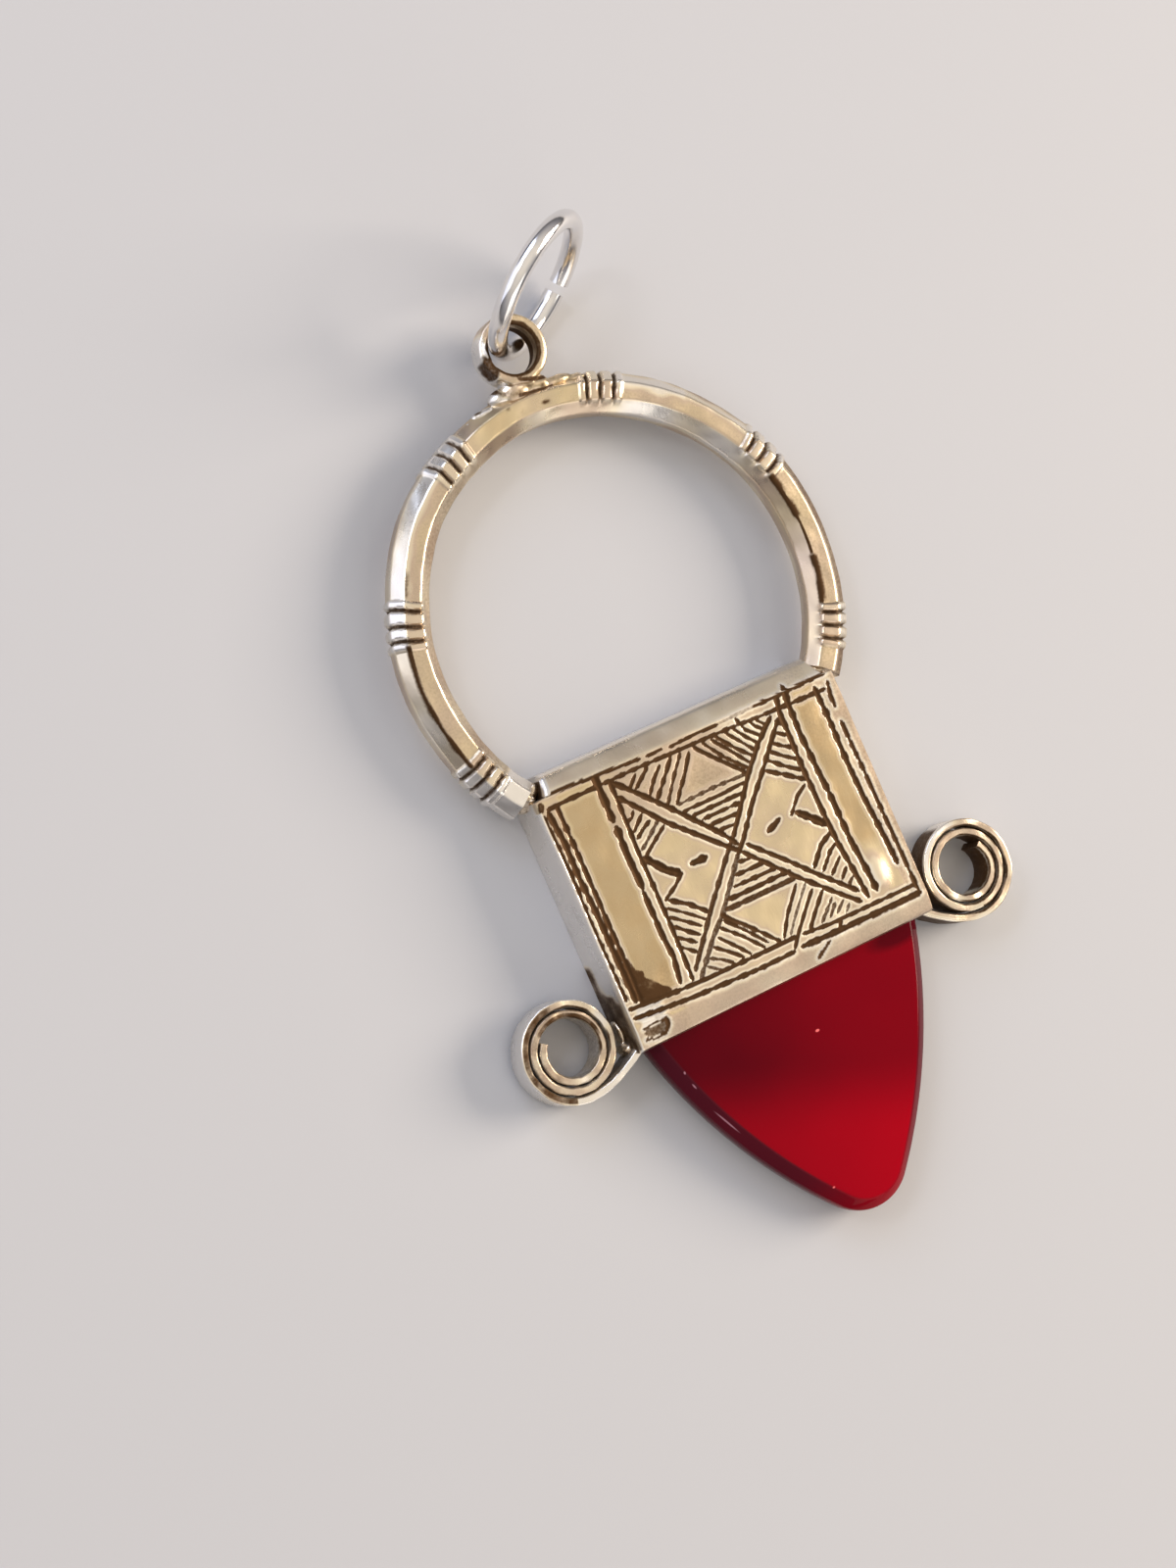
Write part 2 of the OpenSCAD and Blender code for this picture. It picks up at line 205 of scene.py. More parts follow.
# Small dark stains on the front of the box: middle, half size and strength of each
FRONT_STAINS = (
    ((-7.32, -6.32), (0.17, 0.2), 0.9),
    ((-6.55, -16.77), (0.56, 0.27), 0.82),
)
# Dark wedge in the lower left corner of the front: its top, height, left side and width
STAIN_WEDGE = (-13.0, 2.6, -6.62, 1.6)

# Filed rings of the hoop: angle of each group's middle from the eye, positive to the right, and
# the angles of its three grooves from that middle
RING_GROUPS = (
    (-115.0, (-3.4, 0.0, 3.4)),
    (-72.5, (-3.8, -0.2, 3.8)),
    (-28.5, (-4.2, -0.3, 3.6)),
    (18.2, (-3.7, 0.0, 3.7)),
    (66.0, (-4.0, 0.0, 4.0)),
    (116.0, (-3.5, 0.0, 3.5)),
)

# Dark lines left along the ridges of the hoop: from and to in degrees, radius, width, strength.
# Strengths below zero are painted highlights, where the tarnish is taken off so that the ridge shows
# bright.
RIDGE_TARNISH_AND_HIGHLIGHTS = (
    (-112.0, -77.0, 9.93, 0.14, 1.0),
    (-68.0, -34.0, 9.3, 0.06, 0.4),
    (71.0, 86.0, 9.14, 0.15, 1.0),
    (84.0, 97.0, 9.14, 0.08, 1.0),
    (96.0, 111.0, 9.14, 0.14, 1.0),
    (22.0, 42.0, 9.95, 0.42, -0.85),
    (40.0, 61.0, 9.95, 0.3, -0.6),
    (-68.0, -33.0, 9.95, 0.38, -0.6),
    (-67.0, -59.0, 9.78, 0.09, 0.75),
    (-20.0, -16.0, 9.3, 0.07, 0.8),
    (-9.0, -7.0, 9.74, 0.13, 0.9),
    (-6.0, -1.5, 9.35, 0.07, 0.7),
    (0.5, 4.0, 9.42, 0.13, 1.0),
    (4.0, 11.0, 9.16, 0.06, 0.6),
)

# Painted glints on the face of the stone, painted shade by the box and painted glints in streaks
# along the left edge: middle and half size of each, its turn in degrees and its colour
STONE_GLINTS_AND_SHADE = (
    ((0.35, -8.7), (0.1, 0.06), 0, "painted_glint"),
    ((-1.85, -15.05), (0.06, 0.04), 0, "painted_glint"),
    ((5.6, -6.5), (1.5, 0.5), 0, "stone_shaded"),
    ((-5.98, -7.8), (0.04, 0.07), 0, "bevel_glint"),
    ((-5.8, -8.5), (0.03, 0.14), 20, "bevel_glint"),
    ((-5.05, -10.5), (0.028, 0.68), 27, "bevel_glint"),
)


def linear(hex_colour):
    """Linear colour with alpha of an sRGB hex value"""
    parts = [int(hex_colour[i:i + 2], 16) / 255 for i in (1, 3, 5)]
    return [p / 12.92 if p <= 0.04045 else ((p + 0.055) / 1.055) ** 2.4 for p in parts] + [1.0]


def hex_property(name, description, hex_colour):
    """A colour that a user may change"""
    return bpy.props.FloatVectorProperty(
        name=name, description=description, default=linear(hex_colour)[:3],
        subtype="COLOR", size=3, min=0.0, max=1.0)


def size_property(name, description, millimetres):
    """A length that a user may change, held in metres"""
    return bpy.props.FloatProperty(
        name=name, description=description, default=millimetres * MM,
        unit="LENGTH", subtype="DISTANCE", precision=5)


class PendantBoxSizes(bpy.types.PropertyGroup):
    """Sizes of the engraved box"""
    width: size_property("Width", "Width of the box", 15.0)
    height: size_property("Height", "Height of the box, along the pendant", 12.4)
    depth: size_property("Depth", "Thickness of the box", FRAME_HIGH.z)
    cut_share: bpy.props.FloatProperty(
        name="Cut depth", description="Depth of an engraved stroke, as a share of its width",
        default=0.22, min=0.0, max=1.0)
    grid: size_property("Grid", "Distance between the points of the front", 0.046)


class PendantHoopSizes(bpy.types.PropertyGroup):
    """Sizes of the hoop"""
    radius: size_property("Radius", "Radius of the hoop, to the middle of its bar", 9.5)
    bar: size_property("Bar", "Size of the eight-sided bar across its flats", 1.8)
    level: size_property("Level", "Height of the bar's middle over the box's back", 1.4)
    centre: size_property("Centre", "Distance of the hoop's middle from the box's middle", 11.2)


class PendantCoilSizes(bpy.types.PropertyGroup):
    """Sizes of the two side coils"""
    radius: size_property("Radius", "Outer radius where the strip begins", 2.36)
    pitch: size_property("Pitch", "Distance from one turn to the next", 0.42)
    strip: size_property("Strip", "Thickness of the strip", 0.34)
    turns: bpy.props.FloatProperty(
        name="Turns", description="Number of turns", default=2.35, min=1.0, max=4.0)


class PendantFinish(bpy.types.PropertyGroup):
    """Colours of the silver and the stone"""
    # Bare and rubbed silver are also the colours of the painted highlights, where the tarnish is taken
    # off
    bright: hex_property("Bare silver", "Silver where it is worn bright", "#f2ede6")
    rubbed: hex_property("Rubbed silver", "Silver rubbed almost bare, as beside the cuts", "#efe2c9")
    dull: hex_property("Grey tarnish", "Silver under its thinnest tarnish", "#cfbba6")
    cream: hex_property("Light tarnish", "Silver under its yellow tarnish", "#dac8a4")
    tan: hex_property("Warm tarnish", "Silver under its warm brown tarnish", "#bfa781")
    oxide: hex_property("Dark oxide", "Oxide left in the cuts and corners", "#472e13")
    wire: hex_property("Wire silver", "Drawn wire of the jump ring", "#e2e2e6")
    stone: hex_property("Stone", "Stone where light comes through", "#9a0014")
    # Painted shade: the stone's colour where the painted light through it is least, and by the box
    stone_shaded: hex_property("Deep stone", "Stone where it is deepest", "#41000b")
    # Painted shade on the bevel of the stone
    stone_edge_shade: hex_property("Stone edge", "Stone along its bevelled edge", "#4a1520")
    # Painted glints: small bright specks painted on the face of the stone
    painted_glint: hex_property("Glint", "Small nicks in the stone that shine", "#ff7a7a")
    # Painted glints in thin streaks along the left edge of the stone
    bevel_glint: hex_property("Chip", "Fine chips along the edge of the stone", "#b4808c")


def pick(piece, *others):
    """Makes one object the active one, and selects it and any others, and nothing else"""
    bpy.ops.object.select_all(action="DESELECT")
    for item in (piece, *others):
        item.select_set(True)
    bpy.context.view_layer.objects.active = piece


def edit_all(piece):
    """Opens a piece in edit mode with all of it selected"""
    pick(piece)
    bpy.ops.object.mode_set(mode="EDIT")
    bpy.ops.mesh.select_all(action="SELECT")


def mesh_piece(name, points, edges=(), faces=()):
    """A new object from points in millimetres"""
    mesh = bpy.data.meshes.new(name)
    mesh.from_pydata([[c * MM for c in p] for p in points], edges, faces)
    mesh.update()
    piece = bpy.data.objects.new(name, mesh)
    bpy.context.scene.collection.objects.link(piece)
    return piece


def wire_loop(name, points):
    """A closed line through points in millimetres, ready to be spun"""
    count = len(points)
    return mesh_piece(name, points, edges=[(i, (i + 1) % count) for i in range(count)])


def ringed_piece(name, rings):
    """A closed piece through rings of points in millimetres, from the first to the last"""
    count = len(rings[0])
    last = (len(rings) - 1) * count
    faces = []
    for start in range(0, last, count):
        for k in range(count):
            n = (k + 1) % count
            faces.append((start + k, start + n, start + count + n, start + count + k))
    faces.append(tuple(range(count)))
    faces.append(tuple(range(last, last + count)))
    return mesh_piece(name, [point for ring in rings for point in ring], faces=faces)


def spin_loop(piece, steps, angle, place=(0.0, 0.0), axis=(0, 0, 1), capped=True):
    """Spins the loop of a piece round an upright axis at a place in millimetres"""
    edit_all(piece)
    bpy.ops.mesh.spin(
        steps=steps, angle=angle, center=(place[0] * MM, place[1] * MM, 0), axis=axis)
    if capped:
        bpy.ops.mesh.select_all(action="DESELECT")
        bpy.ops.mesh.select_non_manifold()
        bpy.ops.mesh.edge_face_add()
    bpy.ops.object.mode_set(mode="OBJECT")
    outward(piece)


def round_corner(middle_x, middle_y, radius, first):
    """Four points on a quarter circle, anticlockwise from an angle in degrees"""
    return [
        (middle_x + radius * math.cos(a), middle_y + radius * math.sin(a))
        for a in np.radians(np.linspace(first, first + 90, 4))]


def solder_lump(add_sphere, place, half, **settings):
    """A ball with its middle and half sizes in millimetres"""
    bpy.ops.object.select_all(action="DESELECT")
    add_sphere(radius=MM, location=[c * MM for c in place], scale=half, **settings)
    bpy.ops.object.transform_apply(location=True, rotation=True, scale=True)
    return bpy.context.object


def melt(name, parts, voxel, smoothing):
    """Joins parts and runs them into one smooth skin, with faces of about one size"""
    pick(*parts)
    bpy.ops.object.join()
    piece = bpy.context.object
    piece.name = name
    apply_modifier(piece, "REMESH", mode="VOXEL", voxel_size=voxel * MM, adaptivity=0.0)
    apply_modifier(piece, "SMOOTH", factor=0.6, iterations=smoothing)
    return piece


def points_of(piece):
    """The points of a piece as rows of x, y and z in millimetres"""
    flat = np.empty(len(piece.data.vertices) * 3)
    piece.data.vertices.foreach_get("co", flat)
    return flat.reshape(-1, 3) / MM


def set_points(piece, points):
    """Puts the points of a piece at rows of x, y and z in millimetres"""
    piece.data.vertices.foreach_set("co", (points * MM).ravel())
    piece.data.update()


def paint(piece, name, values):
    """Stores a value for each point, which the materials read"""
    layer = piece.data.attributes.get(name) or piece.data.attributes.new(name, "FLOAT", "POINT")
    layer.data.foreach_set("value", np.asarray(values, np.float32))


def values_of(piece, name):
    """The painted values of a piece"""
    values = np.empty(len(piece.data.vertices), np.float32)
    piece.data.attributes[name].data.foreach_get("value", values)
    return values


def apply_modifier(piece, kind, **settings):
    """Adds a modifier and applies it"""
    pick(piece)
    modifier = piece.modifiers.new(kind.title(), kind)
    for key, value in settings.items():
        setattr(modifier, key, value)
    bpy.ops.object.modifier_apply(modifier=modifier.name)


def finish_piece(piece, node, material, smooth=35.0):
    """Gives a piece its material and shading, and ties it to the frame"""
    pick(piece)
    bpy.ops.object.transform_apply(location=True, rotation=True, scale=True)
    bpy.ops.object.shade_smooth_by_angle(angle=math.radians(smooth))
    piece.data.materials.clear()
    piece.data.materials.append(material)
    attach(piece, "root")
    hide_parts(node)


def outward(piece):
    """Turns the faces of a closed shell outwards"""
    edit_all(piece)
    bpy.ops.mesh.remove_doubles(threshold=0.001 * MM)
    bpy.ops.mesh.normals_make_consistent(inside=False)
    bpy.ops.object.mode_set(mode="OBJECT")


def ripple(size, seed, *axes):
    """Smooth unevenness, about -1 to 1, with bumps of one size, in the units of the axes"""
    waves = 7
    draw = np.random.default_rng(seed)
    total = np.zeros(np.shape(axes[0]))
    for _ in range(waves):
        way = draw.normal(size=len(axes))
        way /= np.linalg.norm(way)
        reach = size * draw.uniform(0.7, 1.5)
        phase = draw.uniform(0, math.tau)
        total += np.sin(math.tau * sum(w * a for w, a in zip(way, axes)) / reach + phase)
    return total / math.sqrt(waves)


def ease(low, high, values):
    """0 below low, 1 above high and smooth between them; low may be the larger one"""
    t = np.clip((values - low) / (high - low), 0, 1)
    return t * t * (3 - 2 * t)


def spot_distance(x, y, middle, half):
    """Distance from the middle of an oval spot, which is 1 at its rim"""
    return np.hypot((x - middle[0]) / half[0], (y - middle[1]) / half[1])


def stroke_distance(x, y, path):
    """Distance of each point to a path, how far along it the nearest place is, and its length"""
    best = np.full(x.shape, np.inf)
    along = np.zeros(x.shape)
    gone = 0.0
    for (ax, ay), (bx, by) in zip(path, path[1:]):
        run = math.hypot(bx - ax, by - ay)
        t = np.clip(((x - ax) * (bx - ax) + (y - ay) * (by - ay)) / run ** 2, 0, 1)
        away = np.hypot(x - ax - t * (bx - ax), y - ay - t * (by - ay))
        nearer = away < best
        best = np.where(nearer, away, best)
        along = np.where(nearer, gone + t * run, along)
        gone += run
    return best, along, gone


def engrave(x, y, strokes):
    """Depth of the cuts in millimetres, as if they were as deep as wide, and the darkness in them
    and the closeness to them from 0 to 1, at each point"""
    depth = np.zeros(x.shape)
    dark = np.zeros(x.shape)
    near = np.zeros(x.shape)
    reach = 0.45
    for number, (width, strength, *path) in enumerate(strokes):
        xs = [p[0] for p in path]
        ys = [p[1] for p in path]
        close = np.nonzero(
            (x > min(xs) - reach) & (x < max(xs) + reach)
            & (y > min(ys) - reach) & (y < max(ys) + reach))[0]
        if not len(close):
            continue
        away, along, length = stroke_distance(x[close], y[close], path)
        away = np.abs(away + 0.012 * ripple(0.5, number, along))
        ends = ease(-0.04, 0.1, along) * ease(length + 0.04, length - 0.12, along)
        half = (0.57 * width + 0.016) * (0.55 + 0.45 * ends)
        half *= 1 + 0.14 * ripple(0.8, 50 + number, along)
        cut = np.clip(1 - (away / half) ** 2, 0, 1) ** 2 * min(strength, 1.2) * (0.4 + 0.6 * ends)
        depth[close] = np.maximum(depth[close], cut * width)
        stain = ease(half * 1.15, half * 0.8, away) * min(1.0, 0.5 + 0.6 * strength)
        dark[close] = np.maximum(dark[close], stain)
        near[close] = np.maximum(near[close], ease(half + 0.22, half + 0.02, away))
    return depth, dark, near


def add(tree, kind, inputs=None, **settings):
    """Adds a node; its inputs are values, or nodes or outputs of nodes to link to"""
    node = tree.nodes.new(kind)
    for key, value in settings.items():
        setattr(node, key, value)
    for socket, value in (inputs or {}).items():
        if isinstance(value, bpy.types.Node):
            value = next(output for output in value.outputs if output.enabled)
        if isinstance(value, bpy.types.NodeSocket):
            tree.links.new(value, node.inputs[socket])
        else:
            node.inputs[socket].default_value = value
    return node


def new_material(name):
    """A material and its empty tree"""
    material = bpy.data.materials.new(name)
    material.use_nodes = True
    material.node_tree.nodes.clear()
    return material, material.node_tree


def scaled_place(tree, size_mm, stretch=(1.0, 1.0, 1.0), shift=0.0):
    """Object coordinates in steps of one size in millimetres, shifted by a number of steps"""
    place = add(tree, "ShaderNodeTexCoord")
    return add(tree, "ShaderNodeMapping", {
        "Vector": place.outputs["Object"], "Location": (shift, shift, 0.0),
        "Scale": [s / (size_mm * MM) for s in stretch]})


def silver_colour(tree, finish, cloud):
    """Colour of the metal, from bare to tanned by the piece's own tarnish, a little cloudy"""
    tarnish = add(tree, "ShaderNodeAttribute", attribute_name="tarnish")
    uneven = add(tree, "ShaderNodeMapRange", {
        "Value": cloud, **NOISE_SPAN, "To Min": 0.85, "To Max": 1.08})
    amount = add(
        tree, "ShaderNodeMath", {0: tarnish.outputs["Fac"], 1: uneven}, operation="MULTIPLY",
        use_clamp=True)
    colour = add(tree, "ShaderNodeValToRGB", {"Fac": amount})
    ramp = colour.color_ramp
    ramp.elements[0].color = (*finish.bright, 1.0)
    ramp.elements[1].color = (*finish.tan, 1.0)
    for at, shade in ((0.15, finish.rubbed), (0.3, finish.dull), (0.6, finish.cream)):
        ramp.elements.new(at).color = (*shade, 1.0)
    return colour


def oxide_amount(tree):
    """Oxide from 0 to 1 by the piece's own patina, broken up into specks of about 0.12 mm"""
    patina = add(tree, "ShaderNodeAttribute", attribute_name="patina")
    speck = add(tree, "ShaderNodeTexNoise", {
        "Vector": scaled_place(tree, 0.12), "Scale": 1.0, "Detail": 3.0, "Roughness": 0.6})
    broken = add(tree, "ShaderNodeMapRange", {
        "Value": speck, **NOISE_SPAN, "To Min": -0.08, "To Max": 0.08})
    raised = add(tree, "ShaderNodeMath", {0: patina.outputs["Fac"], 1: broken}, operation="ADD")
    return add(
        tree, "ShaderNodeMapRange", {"Value": raised, "From Min": 0.25, "From Max": 0.95},
        interpolation_type="SMOOTHSTEP")


# Hand-worked silver, filed and engraved, then worn. Silver is almost white, but a thin sulphide
# tarnish tans it, and black-brown oxide stays in every cut, so the colours are mixed by the
# piece's own painted values, which also hold painted highlights and painted shade. Metal keeps
# the default index of refraction.
def worn_silver(name, finish, shift=0.0):
    material, tree = new_material(name)
    # Clouds in the tarnish, about 1.6 mm across
    cloud = add(tree, "ShaderNodeTexNoise", {
        "Vector": scaled_place(tree, 1.6, shift=shift), "Scale": 1.0, "Detail": 4.0,
        "Roughness": 0.55})
    oxide = oxide_amount(tree)
    colour = add(
        tree, "ShaderNodeMix",
        {"Factor": oxide, "A": silver_colour(tree, finish, cloud), "B": (*finish.oxide, 1.0)},
        data_type="RGBA")
    metallic = add(tree, "ShaderNodeMapRange", {"Value": oxide, "To Min": 1.0, "To Max": 0.75})
    roughness = add(tree, "ShaderNodeMapRange", {"Value": oxide, "To Min": 0.27, "To Max": 0.6})
    smear = add(tree, "ShaderNodeMapRange", {
        "Value": cloud, **NOISE_SPAN, "To Min": -0.04, "To Max": 0.07})
    smeared = add(tree, "ShaderNodeMath", {0: roughness, 1: smear}, operation="ADD")
    # File marks and dings, about 0.2 mm wide and 0.6 mm long. Real ones are finer and would not
    # show in the render.
    mark = add(tree, "ShaderNodeTexNoise", {
        "Vector": scaled_place(tree, 0.2, (1.0, 0.35, 1.0)), "Scale": 1.0, "Detail": 5.0,
        "Roughness": 0.65})
    bump = add(tree, "ShaderNodeBump", {"Height": mark, "Strength": 0.35, "Distance": 0.02 * MM})
    metal = add(tree, "ShaderNodeBsdfPrincipled", {
        "Base Color": colour, "Metallic": metallic, "Roughness": smeared, "Normal": bump})
    add(tree, "ShaderNodeOutputMaterial", {"Surface": metal})
    return material


# Drawn silver wire, plated and polished: whiter and smoother than the old silver, with faint
# clouds from handling, about 0.5 mm across.
def drawn_wire(name, finish):
    material, tree = new_material(name)
    cloud = add(tree, "ShaderNodeTexNoise", {
        "Vector": scaled_place(tree, 0.5), "Scale": 1.0, "Detail": 3.0, "Roughness": 0.5})
    colour = add(
        tree, "ShaderNodeMix",
        {"Factor": cloud, "A": (*finish.wire, 1.0), "B": (*finish.bright, 1.0)},
        data_type="RGBA")
    roughness = add(tree, "ShaderNodeMapRange", {
        "Value": cloud, **NOISE_SPAN, "To Min": 0.12, "To Max": 0.22})
    bump = add(tree, "ShaderNodeBump", {"Height": cloud, "Strength": 0.2, "Distance": 0.02 * MM})
    metal = add(tree, "ShaderNodeBsdfPrincipled", {
        "Base Color": colour, "Metallic": 1.0, "Roughness": roughness, "Normal": bump})
    add(tree, "ShaderNodeOutputMaterial", {"Surface": metal})
    return material


def stone_glow(tree, split):
    """Light that comes through the stone, from 0 to 1. It grows slowly from the left of the stone
    to the right, and again towards its tip."""
    sideways = add(
        tree, "ShaderNodeMapRange",
        {"Value": split.outputs["X"], "From Min": -8.8 * MM, "From Max": 5.2 * MM, "To Max": 0.45},
        interpolation_type="SMOOTHSTEP")
    lean = add(tree, "ShaderNodeMath", {0: split.outputs["X"], 1: -0.38}, operation="MULTIPLY")
    down = add(tree, "ShaderNodeMath", {0: lean, 1: split.outputs["Y"]}, operation="SUBTRACT")
    at_tip = add(
        tree, "ShaderNodeMapRange",
        {"Value": down, "From Min": 9.7 * MM, "From Max": 13.6 * MM, "To Max": 0.55},
        interpolation_type="SMOOTHSTEP")
    glow = add(tree, "ShaderNodeMath", {0: sideways, 1: at_tip}, operation="ADD")
    # Clouds in the glass, about 5 mm across
    cloud = add(tree, "ShaderNodeTexNoise", {
        "Vector": scaled_place(tree, 5.0), "Scale": 1.0, "Detail": 2.0, "Roughness": 0.5})
    uneven = add(tree, "ShaderNodeMapRange", {
        "Value": cloud, **NOISE_SPAN, "To Min": -0.04, "To Max": 0.04})
    return add(tree, "ShaderNodeMath", {0: glow, 1: uneven}, operation="ADD", use_clamp=True)


# Red glass, sawn flat and polished: deep wine at the box, brighter towards the tip where light
# comes in from below, with a bevel that shows darker and purple. This light and shade is painted
# into the colour, with painted glints on the face and along the left edge.
def red_stone(name, finish):
    material, tree = new_material(name)
    place = add(tree, "ShaderNodeTexCoord")
    split = add(tree, "ShaderNodeSeparateXYZ", {"Vector": place.outputs["Object"]})
    face = add(
        tree, "ShaderNodeMix",
        {"Factor": stone_glow(tree, split), "A": (*finish.stone_shaded, 1.0),
         "B": (*finish.stone, 1.0)}, data_type="RGBA")
    bevel = add(tree, "ShaderNodeAttribute", attribute_name="bevel")
    colour = add(
        tree, "ShaderNodeMix",
        {"Factor": bevel.outputs["Fac"], "A": face, "B": (*finish.stone_edge_shade, 1.0)},
        data_type="RGBA")
    # Painted glints and painted shade, one spot at a time
    for (px, py), (rx, ry), turn, colour_name in STONE_GLINTS_AND_SHADE:
        spot = add(
            tree, "ShaderNodeMapping",
            {"Vector": place.outputs["Object"], "Location": (px * MM, py * MM, 0.0),
             "Rotation": (0.0, 0.0, math.radians(turn)), "Scale": (rx * MM, ry * MM, 1.0)},
            vector_type="TEXTURE")
        reach = add(tree, "ShaderNodeVectorMath", {0: spot}, operation="LENGTH")
        inside = add(tree, "ShaderNodeMapRange", {
            "Value": reach.outputs["Value"], "From Min": 1.2, "From Max": 0.6, "To Max": 0.8})
        colour = add(
            tree, "ShaderNodeMix",
            {"Factor": inside, "A": colour, "B": (*getattr(finish, colour_name), 1.0)},
            data_type="RGBA")
    # Polishing marks, about 0.8 mm wide and 4 mm long
    scratch = add(tree, "ShaderNodeTexNoise", {
        "Vector": scaled_place(tree, 0.8, (1.0, 0.2, 1.0)), "Scale": 1.0, "Detail": 4.0,
        "Roughness": 0.6})
    bump = add(tree, "ShaderNodeBump", {"Height": scratch, "Strength": 0.12, "Distance": 0.02 * MM})
    glass = add(tree, "ShaderNodeBsdfPrincipled", {
        "Base Color": colour, "Roughness": 0.06, "IOR": 1.52, "Specular IOR Level": 0.06,
        "Normal": bump})
    add(tree, "ShaderNodeOutputMaterial", {"Surface": glass})
    return material


# Plain matt paint, pale grey, which mirrors nothing and takes soft shadows
def pale_floor(name):
    material, tree = new_material(name)
    surface = add(tree, "ShaderNodeBsdfPrincipled", {
        "Base Color": linear("#b8b8bb"), "Roughness": 0.7})
    add(tree, "ShaderNodeOutputMaterial", {"Surface": surface})
    return material


class PENDANT_OT_stage(bpy.types.Operator):
    """Makes the camera, the floor and the soft studio light"""
    bl_idname = "pendant.stage"
    bl_label = "Stage"

    def execute(self, context):
        scene = context.scene
        scene.view_settings.view_transform = "Standard"
        lens = bpy.data.cameras.new("photo_camera")
        lens.sensor_fit = "HORIZONTAL"
        lens.sensor_width = CAMERA_SENSOR
        lens.lens = CAMERA_LENS
        lens.clip_start = 5 * MM
        camera = bpy.data.objects.new("photo_camera", lens)
        turn = Euler([math.radians(a) for a in CAMERA_TURN], "XYZ").to_matrix().to_4x4()
        camera.matrix_world = Matrix.Translation(Vector(CAMERA_PLACE) * MM) @ turn
        scene.collection.objects.link(camera)
        scene.camera = camera

        bpy.ops.object.select_all(action="DESELECT")
        bpy.ops.mesh.primitive_plane_add(size=4.0, location=(0, 0, -0.02 * MM))
        floor = context.object
        floor.name = "floor"
        floor.data.materials.append(pale_floor("pale_floor"))

        self.add_lights(scene)
        self.add_world(scene)
        return {"FINISHED"}

    def add_lights(self, scene):
        """Softboxes round the pendant, with their directions in its own axes"""
        middle = Vector((0, 4, 0)) * MM
        for name, way, distance, size, power, colour in (
            ("key_light", (0.87, -0.12, 0.5), 420, 200, 1.9, "#fff1df"),
            ("top_light", (-0.2, 0.85, 0.6), 420, 220, 0.45, "#cfdfff"),
            ("left_light", (-0.78, 0.5, 0.33), 380, 350, 0.45, "#e8edff"),
            ("glint_light", (-0.5, 0.5, 0.7), 400, 60, 0.14, "#ffffff"),
            ("low_light", (0.1, -0.9, 0.42), 400, 300, 0.36, "#f4efe8"),
        ):
            light = bpy.data.lights.new(name, "AREA")
            light.shape = "SQUARE"
            light.size = size * MM
            light.energy = power
            light.color = linear(colour)[:3]
            lamp = bpy.data.objects.new(name, light)
            away = Vector(way).normalized()
            aim = away.to_track_quat("Z", "Y").to_matrix().to_4x4()
            lamp.matrix_world = Matrix.Translation(middle + away * distance * MM) @ aim
            scene.collection.objects.link(lamp)

    def add_world(self, scene):
        """A pale room that is brighter overhead"""
        world = bpy.data.worlds.new("studio")
        world.use_nodes = True
        tree = world.node_tree
        tree.nodes.clear()
        way = add(tree, "ShaderNodeTexCoord")
        split = add(tree, "ShaderNodeSeparateXYZ", {"Vector": way.outputs["Generated"]})
        ramp = add(tree, "ShaderNodeValToRGB", {"Fac": split.outputs["Z"]})
        ramp.color_ramp.elements[0].color = linear("#4a4746")
        ramp.color_ramp.elements[1].color = linear("#f4ebde")
        ramp.color_ramp.elements.new(0.35).color = linear("#959397")
        back = add(tree, "ShaderNodeBackground", {"Color": ramp})
        add(tree, "ShaderNodeOutputWorld", {"Surface": back})
        scene.world = world


